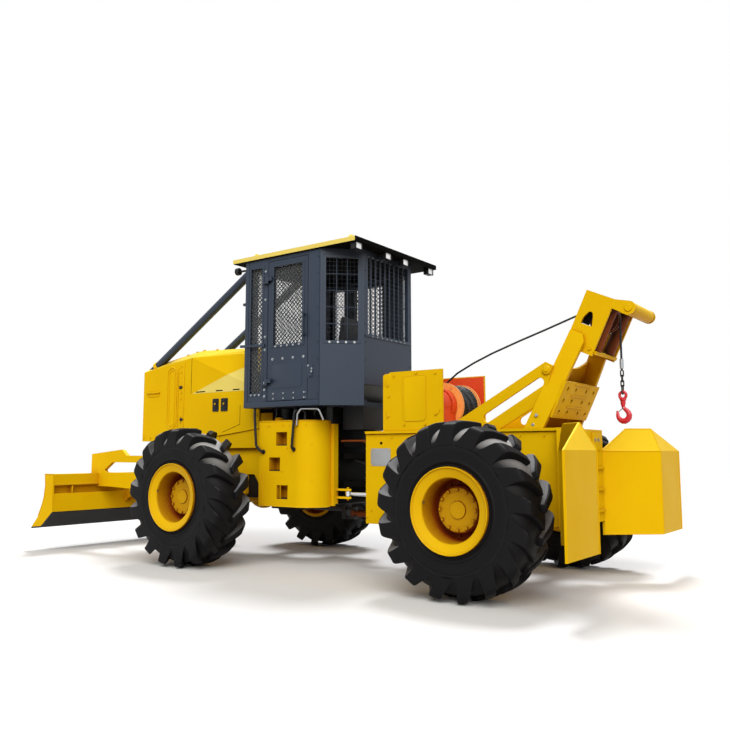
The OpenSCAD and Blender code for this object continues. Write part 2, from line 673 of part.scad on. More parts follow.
// Rear frame
rear_outline = [[1509, 486], [1509, rear_top_z], [-560, rear_top_z], [-560, 560], [-330, 560],
    [-230, front_arch_z], [280, front_arch_z], [470, 486]];
rear_bulkhead_x = 1300;
butt_x = -597;            // rear face of the butt plate
butt_y = 521;             // half its width
flange_t = 25;
module rear_frame() {
    color(yellow) difference() {
        union() {
            both() side_plate(rear_y - plate_t, rear_y) polygon(rear_outline);
            block([-560, -rear_y - 20, rear_top_z], [1509, rear_y + 20, rear_top_z + flange_t]);
            block([rear_bulkhead_x - 30, -rear_y, 640], [rear_bulkhead_x, rear_y, rear_top_z]);
            block([butt_x, -butt_y, 550], [-560, butt_y, rear_top_z + flange_t]);
            for (x = [-200, 250]) block([x, -rear_y, 960], [x + 40, rear_y, 1200]);
            for (z = [upper_z, lower_z]) ear_plate(z, tongue_t, rear_bulkhead_x - 1 - pivot_x, 220);
            // upright plates that carry the steering cylinders
            both() for (s = [-1, 1]) block([steer_base.x - 50, steer_base.y - 50, steer_z + s*51 - 11],
                [steer_base.x + 50, rear_y - plate_t + 1, steer_z + s*51 + 11]);
        }
        both() translate([steer_base.x, steer_base.y, steer_z - 70]) cylinder(r = 22 + run, h = 140);
        both() block([rear_bulkhead_x - 31, 225, 639], [rear_bulkhead_x + 1, 405, 840]);
    }
}
steer_rod_r = 24;
steer_d = steer_eye - steer_base;
steer_l = norm(steer_d);
steer_a = atan2(steer_d.y, steer_d.x);
module steer_frame(side) {
    scale([1, side, 1]) translate([steer_base.x, steer_base.y, steer_z]) rotate([0, 0, steer_a]) children();
}
module steer_barrel(side) {
    color(black) steer_frame(side) difference() {
        union() {
            along(0, 62, 32);
            along(60, 600, 45);
            translate([0, 0, -35]) cylinder(r = 42, h = 70);
            translate([0, 0, -62]) cylinder(r = 22, h = 124);
        }
        along(60, 610, steer_rod_r + run);
    }
}
module steer_rod(side) {
    color(silver) steer_frame(side) union() {
        along(370, steer_l - 20, steer_rod_r);
        translate([steer_l, 0, -steer_eye_t/2]) cylinder(r = 42, h = steer_eye_t);
    }
}
module steer_barrel_left() { steer_barrel(1); }
module steer_barrel_right() { steer_barrel(-1); }
module steer_rod_left() { steer_rod(1); }
module steer_rod_right() { steer_rod(-1); }

// Winch
winch_x = [606, 1296];
winch_z = [rear_top_z + flange_t, 2000];
winch_wall = 25;
drum_x = 790;
drum_z = 1660;
winch_outline = [[winch_x[0], winch_z[0]], [winch_x[0], winch_z[1]], [winch_x[1] - 90, winch_z[1]],
    [winch_x[1] - 70, winch_z[1] - 10], [winch_x[1] - 70, 1905], [winch_x[1], 1880], [winch_x[1], winch_z[0]]];
module winch_housing() {
    color(yellow) union() {
        both() side_plate(rear_y - winch_wall, rear_y) polygon(winch_outline);
        block([winch_x[1] - 25, -rear_y, winch_z[0]], [winch_x[1], rear_y, 1870]);
    }
}
drum_y = [-245, 130];
drum_flange_t = 24;
module winch_supports() {
    color(orange) union() {
        disc_y(drum_x, drum_y[1] + 5, rear_y - winch_wall, drum_z, 150);
        block([drum_x - 150, drum_y[1] + 5, winch_z[0]], [drum_x + 150, rear_y - winch_wall, drum_z]);
    }
    color(orange) union() {
        disc_y(drum_x, -rear_y + winch_wall, drum_y[0] - 5, drum_z, 110);
        block([drum_x - 110, -rear_y + winch_wall, winch_z[0]], [drum_x + 110, drum_y[0] - 5, drum_z]);
    }
    color(silver) disc_y(drum_x, drum_y[0] - 6, drum_y[1] + 6, drum_z, 50);
}
module winch_drum() {
    color(black) difference() {
        union() {
            disc_y(drum_x, drum_y[0] + 10, drum_y[1] - 10, drum_z, drum_r);
            disc_y(drum_x, drum_y[0], drum_y[0] + drum_flange_t, drum_z, flange_r);
            disc_y(drum_x, drum_y[1] - drum_flange_t, drum_y[1], drum_z, flange_r);
        }
        disc_y(drum_x, drum_y[0] - 10, drum_y[1] + 10, drum_z, 50 + run);
    }
}

// Arch, drawn in its own frame: v runs up along the lean, w to the rear
leg_foot_y = 460;         // outer face of a leg at its foot
leg_in = 345;             // outer face of a leg at the head
leg_top = 860;
leg_d = 160;
leg_tilt = atan2(leg_foot_y - leg_in, leg_top);
head_front = -172;
head_rear = 100;
head_low = 760;
head_plate_t = 25;
head_floor_t = 30;
roller_pin_r = 30;
sheave_r = 118;
sheave_v = 1106;
sheave_w = -29;
guide_w = 65;             // upright guide rollers
guide_y = 170;
guide_top = 1205;
sheave_gap = 60;          // half the gap beside the sheave
module arch_frame() { translate([arch_foot.x, 0, arch_foot.y]) rotate([0, -arch_lean, 0]) children(); }
// An outline given as [w to the rear, v up] becomes a plate from y0 to y1
module arch_plate(y0, y1) {
    translate([0, y1, 0]) rotate([90, 0, 0]) linear_extrude(y1 - y0) scale([-1, 1]) children();
}
module arch_box(w, y, v) { translate([-w[1], y[0], v[0]]) cube([w[1] - w[0], y[1] - y[0], v[1] - v[0]]); }
module legs() {
    both() translate([0, leg_foot_y, 0]) rotate([leg_tilt, 0, 0]) arch_plate(-arch_t, 0)
        polygon([[0, -250], [0, leg_top], [-40, leg_top + 60], [-leg_d, leg_top + 60], [-leg_d, -250]]);
}
head_in = head_y - head_plate_t;
module head_plate() {
    arch_plate(head_in, head_y) difference() {
        union() {
            polygon([[head_rear, head_low], [head_rear, arch_len], [head_front, arch_len], [head_front, head_low]]);
            polygon([[head_rear - 1, arch_len], [roller_w - 6, roller_v + roller_lug_r], [roller_w, roller_v - roller_lug_r],
                [head_rear - 1, roller_v - roller_lug_r + 10]]);
            translate([roller_w, roller_v]) circle(r = roller_lug_r);
        }
        translate([roller_w, roller_v]) circle(r = roller_pin_r + run);
        // window beside the sheave
        polygon([[-108, 996], [0, 1000], [-25, 1085], [-37, 1110], [-54, 1121], [-75, 1115], [-95, 1080], [-108, 1040]]);
    }
}
// Plate across the front of the legs, its top edge hollowed by a wide arc
module front_plate() {
    difference() {
        arch_box([-leg_d + 5, -leg_d + 25], [-380, 380], [-150, 730]);
        translate([0, 0, 1122]) rotate([0, 90, 0]) cylinder(r = 544, h = 400, $fn = 96);
        for (s = [-1, 1]) translate([0, s*leg_foot_y, 0]) rotate([s*leg_tilt, 0, 0]) translate([0, s*(500 - arch_t) - 500, -400])
            cube([400, 1000, 1400]);
    }
}
// Plate across the rear of the legs with rows of holes and ribs between them
plate_holes = [[-318, -128, 128, 318], [203, 311, 419]];
module perforated_plate() {
    difference() {
        arch_box([0, 22], [-420, 420], [138, 484]);
        for (y = plate_holes[0], v = plate_holes[1]) translate([-30, y, v]) rotate([0, 90, 0]) cylinder(r = 17, h = 40);
    }
    for (v = plate_holes[1]) arch_box([22, 32], [-190, 190], [v + 44, v + 58]);
}
module arch() {
    color(yellow) difference() {
        arch_frame() union() {
            legs();
            both() head_plate();
            front_plate();
            perforated_plate();
            // head floor, its front lip and the plate over the guide rollers
            arch_box([head_front, head_rear + 20], [-head_in, head_in], [head_low + 20, head_low + 20 + head_floor_t]);
            arch_box([head_front, head_front + 25], [-head_in, head_in], [head_low, head_low + 130]);
            both() arch_box([guide_w - 60, head_rear + 15], [sheave_gap, head_in], [guide_top, guide_top + 25]);
        }
        block([-900, -600, 900], [100, 600, rear_top_z + flange_t]);
        block([butt_x, -butt_y, 900], [0, butt_y, rear_top_z + flange_t]);
    }
}
module arch_braces() {
    color(yellow) difference() {
        both() side_plate(385, 410) difference() {
            polygon([[460, winch_z[0]], [460, 1500], [-430, 1998], [-500, 1960], [-400, 1640], [-260, 1570], [20, 1415],
                [20, winch_z[0]]]);
            hull() {
                translate([150, 1516]) circle(r = 42, $fn = 32);
                translate([-370, 1816]) circle(r = 42, $fn = 32);
            }
        }
        arch_frame() legs();
        arch_frame() front_plate();
    }
}
module fairlead() {
    color(dark_yellow) arch_frame() {
        // top roller between the head's ears
        translate([-roller_w, head_y, roller_v]) rotate([90, 0, 0]) cylinder(r = roller_pin_r, h = head_w);
        translate([-roller_w, head_in - 1, roller_v]) rotate([90, 0, 0]) cylinder(r = 56, h = 2*head_in - 2);
        both() translate([-guide_w, guide_y, head_low + 20 + head_floor_t])
            cylinder(r = roller_r, h = guide_top - head_low - 20 - head_floor_t);
        // sheave on its pin
        translate([-sheave_w, head_in, sheave_v]) rotate([90, 0, 0]) cylinder(r = 24, h = 2*head_in);
        translate([-sheave_w, 35, sheave_v]) rotate([90, 0, 0]) rotate_extrude()
            polygon([[0, 0], [sheave_r + 18, 0], [sheave_r + 18, 14], [sheave_r, 25], [sheave_r, 45],
                [sheave_r + 18, 56], [sheave_r + 18, 70], [0, 70]]);
    }
}

// Winch rope: from the drum over the sheave, then hanging
rope_points = [[918, 0, 1818], [800, 0, 1913], [689, 0, 1996], [500, 0, 2088], [300, 0, 2168], [0, 0, 2269],
    [-270, 0, 2354], [-532, 0, 2440], [-800, 0, 2528], [-862, 0, 2532], [-920, 0, 2508], [-960, 0, 2460],
    [-975, 0, 2400], [-975, 0, 2160], [-975, 0, 1930]];
module rope() { color(black) tube(rope_points, rope_d/2, 8); }
rope_end = rope_points[len(rope_points) - 1];
link_r = 6;
// Chain links from the top: half width, straight length, turn
links = [[18, 34, 0], [18, 34, 90], [18, 34, 0], [27, 36, 90]];
// Top of link i, and the lower end of the opening inside it, where the next one hangs
function link_top(i) = i == 0 ? rope_end.z : inner_low(i - 1) + 2*link_r + 0.6;
function inner_low(i) = link_top(i) - links[i][1] - 2*links[i][0] + 2*link_r;
// One chain link of half width w with straight sides l long, standing in the plane of x and z, its top at 0
module link(w, l) {
    for (s = [-1, 1]) translate([s*(w - link_r), 0, -w - l]) cylinder(r = link_r, h = l);
    for (s = [0, 1]) translate([0, 0, -w - s*l]) mirror([0, 0, s]) rotate([90, 0, 0])
        rotate_extrude(angle = 180) translate([w - link_r, 0]) circle(r = link_r, $fn = 24);
}
module hook_chain() {
    color(black) for (i = [0:len(links) - 1])
        translate([rope_end.x, 0, link_top(i)]) rotate([0, 0, links[i][2]]) link(links[i][0], links[i][1]);
}
hook_ring_r = 28;
hook_bar_r = 11;
hook_z = inner_low(len(links) - 1) - hook_ring_r + hook_bar_r + 0.6;
module hook() {
    color(red) translate([rope_end.x, 0, hook_z]) union() {
        rotate([90, 0, 0]) rotate_extrude() translate([hook_ring_r, 0]) circle(r = hook_bar_r, $fn = 24);
        translate([0, 0, -90]) cylinder(r = 20, h = 56);
        translate([0, 0, -125]) cylinder(r = 13, h = 40);
        translate([0, 0, -175]) rotate([0, 0, 90]) rotate([90, 0, 0]) rotate([0, 0, 90])
            rotate_extrude(angle = -260) translate([50, 0]) circle(r = 15, $fn = 24);
    }
}

// Wheel guards behind the rear tyres
guard_t = 14;
guard_z = [419, 1213];
// Plan of a guard from the frame outwards, along its outer face and back along its inner face
guard_out = [[butt_x, butt_y], [-821, 697], [guard_x, 884], [guard_x, 1563]];
guard_in = [[-574, butt_y], [-812, 708], [guard_x + guard_t, 890], [guard_x + guard_t, 1563]];
ridge_out = [[-734, 793], [-934, 967]];
ridge_in = [[-724, 803], [-922, 977]];
ridge_z = 1428;
module wheel_guards() {
    z = guard_z[1];
    color(yellow) both() {
        translate([0, 0, guard_z[0]]) linear_extrude(z - guard_z[0])
            polygon(concat(guard_out, [for (i = [3:-1:0]) guard_in[i]]));
        // sloped top plates up to the ridge
        polyhedron(
            points = concat([for (p = guard_out) [p.x, p.y, z]], [for (p = ridge_out) [p.x, p.y, ridge_z]],
                [for (p = guard_in) [p.x, p.y, z]], [for (p = ridge_in) [p.x, p.y, ridge_z]]),
            faces = [[0, 1, 4], [1, 5, 4], [1, 2, 5], [2, 3, 5], [6, 10, 7], [7, 10, 11], [7, 11, 8], [8, 11, 9],
                [0, 6, 7, 1], [1, 7, 8, 2], [2, 8, 9, 3], [0, 4, 10, 6], [4, 5, 11, 10], [5, 3, 9, 11]]);
    }
}

module tyre_front_left() { wheel_at(wheelbase, 1) tyre(); }
module tyre_front_right() { wheel_at(wheelbase, -1) tyre(); }
module tyre_rear_left() { wheel_at(0, 1) tyre(); }
module tyre_rear_right() { wheel_at(0, -1) tyre(); }
module rim_front_left() { wheel_at(wheelbase, 1) rim(); }
module rim_front_right() { wheel_at(wheelbase, -1) rim(); }
module rim_rear_left() { wheel_at(0, 1) rim(); }
module rim_rear_right() { wheel_at(0, -1) rim(); }

place() front_frame();
place() transfer_case();
place() engine_block();
place() hood();
place() hood_grille();
place() front_axle();
place() step_tanks();
place() grab_rails();
place() cab_mounts();
place() cab_underbox();
place() cab_floor();
place() cab_front();
place() cab_sides();
place() cab_quarters();
place() cab_rear();
place() cab_roof();
place() work_lamps();
place() limb_risers();
place() seat();
place() console();
place() door_left();
place() door_right();
place() frame_pins();
place() blade();
place() cutting_edge();
place() blade_arms();
place() lift_barrels();
place() lift_rods();
place() propshaft();
place() rear_frame();
place() rear_axle();
place() steer_barrel_left();
place() steer_barrel_right();
place() steer_rod_left();
place() steer_rod_right();
place() winch_housing();
place() winch_supports();
place() winch_drum();
place() arch();
place() arch_braces();
place() fairlead();
place() rope();
place() hook_chain();
place() hook();
place() wheel_guards();
place() tyre_front_left();
place() tyre_front_right();
place() tyre_rear_left();
place() tyre_rear_right();
place() rim_front_left();
place() rim_front_right();
place() rim_rear_left();
place() rim_rear_right();
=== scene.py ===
"""Looks of an articulated cable skidder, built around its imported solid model.

Lengths in the code are millimetres measured from the middle of the rear axle on the ground, X forward, Y left and
Z up. at() turns them into the frame's metres. What both sides have is written for the left and mirrored by Shape.
"""

import json
import math

import bmesh
import bpy
from bpy.props import FloatProperty, FloatVectorProperty, IntProperty, PointerProperty, StringProperty
from mathutils import Matrix, Vector


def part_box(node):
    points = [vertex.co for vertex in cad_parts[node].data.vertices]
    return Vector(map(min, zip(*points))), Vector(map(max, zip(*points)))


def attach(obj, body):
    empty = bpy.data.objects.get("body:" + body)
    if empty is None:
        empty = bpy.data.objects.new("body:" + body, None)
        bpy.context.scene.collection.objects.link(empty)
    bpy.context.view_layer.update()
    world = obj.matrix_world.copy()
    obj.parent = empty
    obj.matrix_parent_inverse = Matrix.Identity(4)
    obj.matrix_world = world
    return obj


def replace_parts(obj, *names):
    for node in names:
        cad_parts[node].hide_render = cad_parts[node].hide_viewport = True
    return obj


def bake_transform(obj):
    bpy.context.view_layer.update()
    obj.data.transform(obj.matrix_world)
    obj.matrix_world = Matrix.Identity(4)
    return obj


bl_info = {
    "name": "Articulated cable skidder",
    "version": (1, 0, 0),
    "blender": (4, 5, 0),
    "location": "View3D > Sidebar > Skidder",
    "description": "Dresses the solid model of a log skidder: tyres, mesh guards, winch rope, hoses, bolts and paint",
    "category": "Object",
}

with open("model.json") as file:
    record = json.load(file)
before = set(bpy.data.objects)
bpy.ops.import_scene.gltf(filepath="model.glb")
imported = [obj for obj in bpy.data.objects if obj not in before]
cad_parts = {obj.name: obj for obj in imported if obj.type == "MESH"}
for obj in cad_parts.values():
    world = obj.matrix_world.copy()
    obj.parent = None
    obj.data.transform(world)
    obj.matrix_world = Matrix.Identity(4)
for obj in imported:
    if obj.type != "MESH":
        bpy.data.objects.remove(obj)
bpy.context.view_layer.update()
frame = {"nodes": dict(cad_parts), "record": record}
NODES = frame["nodes"]
MM = 0.001
SMOOTH = 38.0  # degrees between faces up to which an edge is shaded round
SIDES = ((1, "left"), (-1, "right"))
FRONT, REAR = "front_chassis", "rear_chassis"


def middle(node):
    """Middle of a solid's box, in metres."""
    low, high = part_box(node)
    return (low + high) / 2


REAR_X, WHEEL_Y, WHEEL_Z = (v / MM for v in middle("tyre_rear_left"))
WHEELBASE = (middle("tyre_front_left").x - middle("tyre_rear_left").x) / MM

# Places that the solid model fixes. A window is its two spans, along its wall and in Z.
CAB_Y = 760.0  # outer face of the cab's sides
DOOR_WINDOW = ((2110.0, 2528.0), (2344.0, 3215.0))
SIDE_WINDOW = ((2690.0, 2870.0), (1830.0, 3230.0))
QUARTER = (Vector((1870.0, 760.0)), Vector((1530.0, 455.0)))  # ends of the slanted rear wall, x and y
QUARTER_WINDOW = ((-170.0, 175.0), (2344.0, 3230.0))
REAR_WINDOW = ((-385.0, 385.0), (2431.0, 3265.0))
FRONT_WINDOW = ((-600.0, 600.0), (2100.0, 3230.0))
ROOF = ((1395.0, 3130.0), 790.0, (3325.0, 3370.0))
HOOD_Y, HOOD_X, CREASE_X = 500.0, (2960.0, 5010.0), 4110.0
TANK_Y, TANK_TURN_X, TANK_BEND = 700.0, 2240.0, 250.0
PANEL_Y = 450.0  # outer faces of the rear frame and of the winch housing
ARCH_FOOT, ARCH_LEAN = (-400.0, 1385.0), math.radians(25)
ROLLER = (1256.0, 235.0)  # up the lean, to the rear
DRUM = (790.0, 1660.0)
LIFT_BASE, LIFT_EYE = Vector((4860.0, 300.0, 1200.0)), Vector((5450.0, 300.0, 660.0))
STEER_BASE, STEER_EYE = (900.0, 300.0, 768.0), (1820.0, 325.0, 768.0)
PIVOT_X, PIVOT_Z = 1700.0, (1220, 800)
BLADE_HALF = 1400
ROPE_R = 0.0102  # over the strands, in metres
ROPE_PATH = (
    (918, 0, 1818), (800, 0, 1913), (689, 0, 1996), (500, 0, 2088), (300, 0, 2168), (0, 0, 2269), (-270, 0, 2354),
    (-532, 0, 2440), (-800, 0, 2528), (-862, 0, 2532), (-920, 0, 2508), (-960, 0, 2460), (-975, 0, 2400),
    (-975, 0, 2160), (-975, 0, 1930),
)


def at(x, y, z):
    """A place in millimetres from the rear axle becomes metres in the frame."""
    return Vector(((x + REAR_X) * MM, y * MM, z * MM))


def arch_at(w, y, v):
    """A place on the arch: w to the rear, y to the left, v up along its lean."""
    s, c = math.sin(ARCH_LEAN), math.cos(ARCH_LEAN)
    return Vector((ARCH_FOOT[0] - v * s - w * c, y, ARCH_FOOT[1] + v * c - w * s))


# ---- colours and materials ----


def linear(code):
    """An sRGB colour such as "#E9C40F" as linear RGBA."""
    parts = [int(code[i : i + 2], 16) / 255 for i in (1, 3, 5)]
    return tuple(p / 12.92 if p <= 0.04045 else ((p + 0.055) / 1.055) ** 2.4 for p in parts) + (1.0,)


def add(tree, kind, sockets=None, **settings):
    """Adds a node, sets its properties, and fills its sockets with values or with links from sockets or nodes."""
    made = tree.nodes.new(kind)
    for key, value in settings.items():
        setattr(made, key, value)
    for key, values in (sockets or {}).items():
        for value in values if isinstance(values, list) else [values]:
            if isinstance(value, bpy.types.Node):
                value = value.outputs[0]
            if isinstance(value, bpy.types.NodeSocket):
                tree.links.new(value, made.inputs[key])
            else:
                made.inputs[key].default_value = value
    return made


def new_material(name):
    made = bpy.data.materials.new(name)
    made.use_nodes = True
    made.node_tree.nodes.clear()
    return made, made.node_tree


def surface(name, colour, rough, metal=0.0, shade=None, drift=400.0, relief=(), rough_drift=0.0, grime=None,
            top_light=None, shade_box=None, specular=0.5, more=None):
    """A finish on Object coordinates. drift is the size in mm of its slow change, at random, towards the colour shade;
    relief lists bumps as (size in mm, height in mm). grime is (colour, reach in mm, strength, least open) of painted
    shade: recesses that ambient occlusion finds take that colour where shade falls. faded (colour, strength, least,
    most)
    is a painted highlight: faces that look up turn paler, as if the sky lit them. pit is (low, high, colour) of a box,
    on the object's own coordinates in metres, inside which everything takes that colour as painted deep shade."""
    made, tree = new_material(name)
    where = add(tree, "ShaderNodeTexCoord").outputs["Object"]
    slow = add(tree, "ShaderNodeTexNoise", {"Vector": where, "Scale": 1000 / drift, "Detail": 3.0, "Roughness": 0.55})
    gloss = add(tree, "ShaderNodeMapRange", {"Value": slow, "From Min": 0.3, "From Max": 0.7,
                                             "To Min": rough - rough_drift, "To Max": rough + rough_drift})
    layers = [(shade or colour, slow)]
    # painted highlight: faces that look up turn towards a paler colour
    if top_light:
        over, most, low, high = top_light
        up = add(tree, "ShaderNodeSeparateXYZ", {0: add(tree, "ShaderNodeNewGeometry").outputs["Normal"]})
        layers.append((over, add(tree, "ShaderNodeMapRange", {
            "Value": up.outputs[2], "From Min": low, "From Max": high, "To Min": 0.0, "To Max": most})))
    # painted shade: recesses found by ambient occlusion turn towards a darker colour
    if grime:
        over, reach, most, low = grime
        lit = add(tree, "ShaderNodeAmbientOcclusion", {"Distance": reach * MM}, samples=5)
        layers.append((over, add(tree, "ShaderNodeMapRange", {
            "Value": lit.outputs["AO"], "From Min": low, "From Max": low + 0.6, "To Min": most, "To Max": 0.0})))
    # painted shade: everything inside the box takes one dark colour
    if shade_box:
        low, high, over = shade_box
        off = where
        for kind, other in (("SUBTRACT", (low + high) / 2), ("ABSOLUTE", (0, 0, 0)), ("DIVIDE", (high - low) / 2)):
            off = add(tree, "ShaderNodeVectorMath", {0: off, 1: other}, operation=kind)
        x, y, z = add(tree, "ShaderNodeSeparateXYZ", {0: off}).outputs
        for other, kind in ((y, "MAXIMUM"), (z, "MAXIMUM"), (1.0, "LESS_THAN")):
            x = add(tree, "ShaderNodeMath", {0: x, 1: other}, operation=kind)
        layers.append((over, x))
    hue = linear(colour)
    for over, share in layers:
        hue = add(tree, "ShaderNodeMix", {"Factor": share, 6: hue, 7: linear(over)}, data_type="RGBA").outputs[2]
    sockets = {"Base Color": hue, "Roughness": gloss, "Metallic": metal, "Specular IOR Level": specular, **(more or {})}
    for size, height in relief:
        grain = add(tree, "ShaderNodeTexNoise", {"Vector": where, "Scale": 1000 / size, "Detail": 2.0})
        bump = {"Height": grain, "Strength": 1.0, "Distance": height * MM}
        if "Normal" in sockets:
            bump["Normal"] = sockets["Normal"]
        sockets["Normal"] = add(tree, "ShaderNodeBump", bump)
    add(tree, "ShaderNodeOutputMaterial", {"Surface": add(tree, "ShaderNodeBsdfPrincipled", sockets)})
    return made


PAINT = {}
# Slot of the record that each finish belongs to; a slot's first finish is the one that its solids wear
SLOT_OF = {
    "yellow": "yellow", "rim": "yellow", "cab": "cab_blue", "guard": "cab_blue", "black": "black_paint",
    "roof": "roof_paint", "rubber": "rubber", "casing": "rubber", "chrome": "rod_chrome", "steel": "steel",
    "plate": "steel", "drive": "drive_paint", "hook": "hook_red", "orange": "winch_orange", "cream": "winch_orange",
    "iron": "iron", "wire": "rope_steel", "vinyl": "seat_vinyl", "plastic": "plastic", "hose": "plastic",
    "gap_and_shade_black": "plastic", "glass": "plastic", "lamp": "lamp",
}


def mix_finishes(yellow, cab, black, hook):
    """Every finish of the machine, keyed by a short name."""
    orange_peel = ((14, 0.035), (160, 0.5))
    # Two-pack machinery enamel over blasted plate: satin gloss with a faint orange peel. Faces that look up are painted
    # paler, a painted highlight, and recesses are painted orange brown, a painted shade.
    enamel = {"shade": "#E8B80A", "relief": orange_peel, "rough_drift": 0.05, "specular": 0.03,
              "grime": ("#A8560A", 420, 0.75, 0.25), "top_light": ("#F3DC4C", 0.7, 0.25, 0.95)}
    PAINT["yellow"] = surface("machinery enamel yellow", yellow, 0.42, **enamel)
    # The same enamel, painted near black in a box round the frame joint as the shade deep in it.
    for node, low, high in (("front_frame", (1560, -345, 636), (2010, 345, 1505)),
                            ("rear_frame", (1470, -415, 600), (2010, 415, 1402))):
        own = NODES[node].matrix_world.inverted()
        PAINT[node] = surface(f"machinery enamel, shade blackened {node}", yellow, 0.42,
                              shade_box=(own @ at(*low), own @ at(*high), "#0A0908"), **enamel)
    # In the wheel's deep dish the enamel is painted brown, a painted shade of the dish.
    PAINT["rim"] = surface("wheel enamel", yellow, 0.4, shade="#E8B80A", relief=orange_peel[:1],
                           grime=("#7C300C", 380, 1.0, 0.42), specular=0.1)
    # The roof's yellow enamel painted pale, a painted highlight where the sun catches the roof; the hood's pale plates
    # wear it as a painted reflection.
    PAINT["roof"] = surface("machinery enamel yellow, painted pale highlight", "#F2E27E", 0.45, shade="#EDD966", relief=orange_peel,
                            specular=0.2)
    # Powder coat on cab sheet: satin, slightly pebbled, cool grey blue.
    # Painted darker in its recesses, a painted shade.
    PAINT["cab"] = surface("powder coat blue grey", cab, 0.4, shade="#303D50", drift=900, rough_drift=0.06,
                           relief=((9, 0.05), (240, 0.9)), grime=("#14171C", 380, 0.7, 0.25), specular=0.3)
    PAINT["guard"] = surface("powder coat window mesh", "#191F28", 0.45, shade="#212834", relief=((7, 0.05),),
                             specular=0.25)
    PAINT["black"] = surface("chassis enamel black", black, 0.45, shade="#1A1B1E", relief=((12, 0.05),),
                             specular=0.25)
    PAINT["hook"] = surface("enamel red", hook, 0.28, shade="#C4091F", relief=((10, 0.08),), more={"Coat Weight": 0.2})
    # The red orange enamel is painted darker in its recesses, a painted shade.
    PAINT["orange"] = surface("enamel red orange", "#DB4A1E", 0.42, shade="#C93C14", relief=((12, 0.08),),
                              grime=("#6E220C", 200, 0.6, 0.25), specular=0.3)
    PAINT["cream"] = surface("enamel cream orange", "#F2A45C", 0.42, shade="#E08C3E", relief=((12, 0.06),),
                             specular=0.3)
    # The primer is painted near black in its recesses, a painted shade.
    PAINT["drive"] = surface("primer orange brown", "#8A4418", 0.55, shade="#6E3512", relief=((10, 0.1),),
                             grime=("#1E0E06", 420, 0.95, 0.3), specular=0.15)
    # Tread compound of natural rubber and carbon black: matt, with a dull sheen at a low angle.
    compound = {"drift": 180, "rough_drift": 0.08, "relief": ((3, 0.12), (38, 0.7)), "specular": 0.12}
    # The lugs' faces that look up are painted grey, a painted highlight of the sky.
    PAINT["rubber"] = surface("tyre rubber", "#101013", 0.6, shade="#151518", top_light=("#77787C", 0.9, 0.35, 0.8),
                              **compound)
    PAINT["wall"] = surface("tyre rubber, black", "#0E0E11", 0.6, shade="#131316", **compound)
    # Between the lugs the casing is painted grey where it faces the sky, a painted highlight, and darker in its
    # recesses, a painted shade.
    PAINT["casing"] = surface("tyre casing", "#101013", 0.55, shade="#17171A", drift=180, relief=((3, 0.1), (30, 0.8)),
                              top_light=("#B0B0B2", 0.95, 0.3, 0.75), grime=("#0A0A0C", 45, 1.0, 0.3), specular=0.14)
    PAINT["hose"] = surface("hydraulic hose rubber", "#121315", 0.5, shade="#1A1B1D", relief=((3, 0.1),), specular=0.3)
    # Hard chrome on ground steel bar.
    PAINT["chrome"] = surface("hard chrome", "#D9DCDF", 0.12, metal=1.0, shade="#C6CACE", drift=90)
    PAINT["steel"] = surface("zinc plated steel", "#B9BCC0", 0.34, metal=1.0, shade="#8F9396", drift=60,
                             rough_drift=0.08)
    PAINT["iron"] = surface("cast iron, oiled", "#2C2A29", 0.55, metal=0.4, shade="#201E1D", relief=((5, 0.3),))
    PAINT["wire"] = surface("shade blackened wire rope", "#36373B", 0.45, metal=0.8, shade="#222326", drift=30)
    # Moulded polypropylene, lightly textured.
    PAINT["plastic"] = surface("moulded black plastic", "#1C1D20", 0.55, shade="#222327", relief=((4, 0.1),))
    PAINT["plate"] = surface("anodised aluminium plate", "#A9ADB0", 0.35, metal=0.4, shade="#9A9EA2", drift=50)
    # Near black for gaps between panels, and for openings and holes whose dark is painted shade.
    PAINT["gap_and_shade_black"] = surface("near black of gaps and painted shade", "#070707", 0.9, specular=0.05)
    PAINT["lamp"] = surface("lamp glass over reflector", "#E8ECEF", 0.08, metal=0.35, shade="#CDD3D8", drift=25,
                            more={"Emission Color": linear("#F6F9FF"), "Emission Strength": 0.25})
    PAINT["vinyl"] = vinyl()
    PAINT["glass"] = clear_sheet()


def vinyl():
    """Seat vinyl, embossed with a fine leather grain: cells of about 3 mm, drawn coarser, at 5 mm, to show."""
    made, tree = new_material("seat vinyl")
    where = add(tree, "ShaderNodeTexCoord").outputs["Object"]
    cells = add(tree, "ShaderNodeTexVoronoi", {"Vector": where, "Scale": 1000 / 5})
    worn = add(tree, "ShaderNodeTexNoise", {"Vector": where, "Scale": 1000 / 160, "Detail": 4.0})
    tint = add(tree, "ShaderNodeMix", {"Factor": worn, 6: linear("#202124"), 7: linear("#2C2D31")}, data_type="RGBA")
    bump = add(tree, "ShaderNodeBump", {"Height": cells.outputs["Distance"], "Strength": 0.6, "Distance": 0.4 * MM})
    add(tree, "ShaderNodeOutputMaterial", {"Surface": add(tree, "ShaderNodeBsdfPrincipled", {
        "Base Color": tint.outputs[2], "Roughness": 0.5, "Normal": bump})})
    return made


def clear_sheet():
    """Clear polycarbonate 6 mm thick: nearly invisible face on, with a faint reflection."""
    made, tree = new_material("clear polycarbonate")
    add(tree, "ShaderNodeOutputMaterial", {"Surface": add(tree, "ShaderNodeBsdfPrincipled", {
        "Base Color": linear("#DDE6EA"), "Roughness": 0.06, "Alpha": 0.13})})
    return made


# ---- meshes ----


def circle(n, count=None, shift=0.0):
    """Cosine and sine of n even steps round a circle, or of as many as count says."""
    return [(math.cos(math.tau * (k + shift) / n), math.sin(math.tau * (k + shift) / n)) for k in range(count or n)]


def rect(x0, x1, z0, z1):
    return [(x0, z0), (x1, z0), (x1, z1), (x0, z1)]


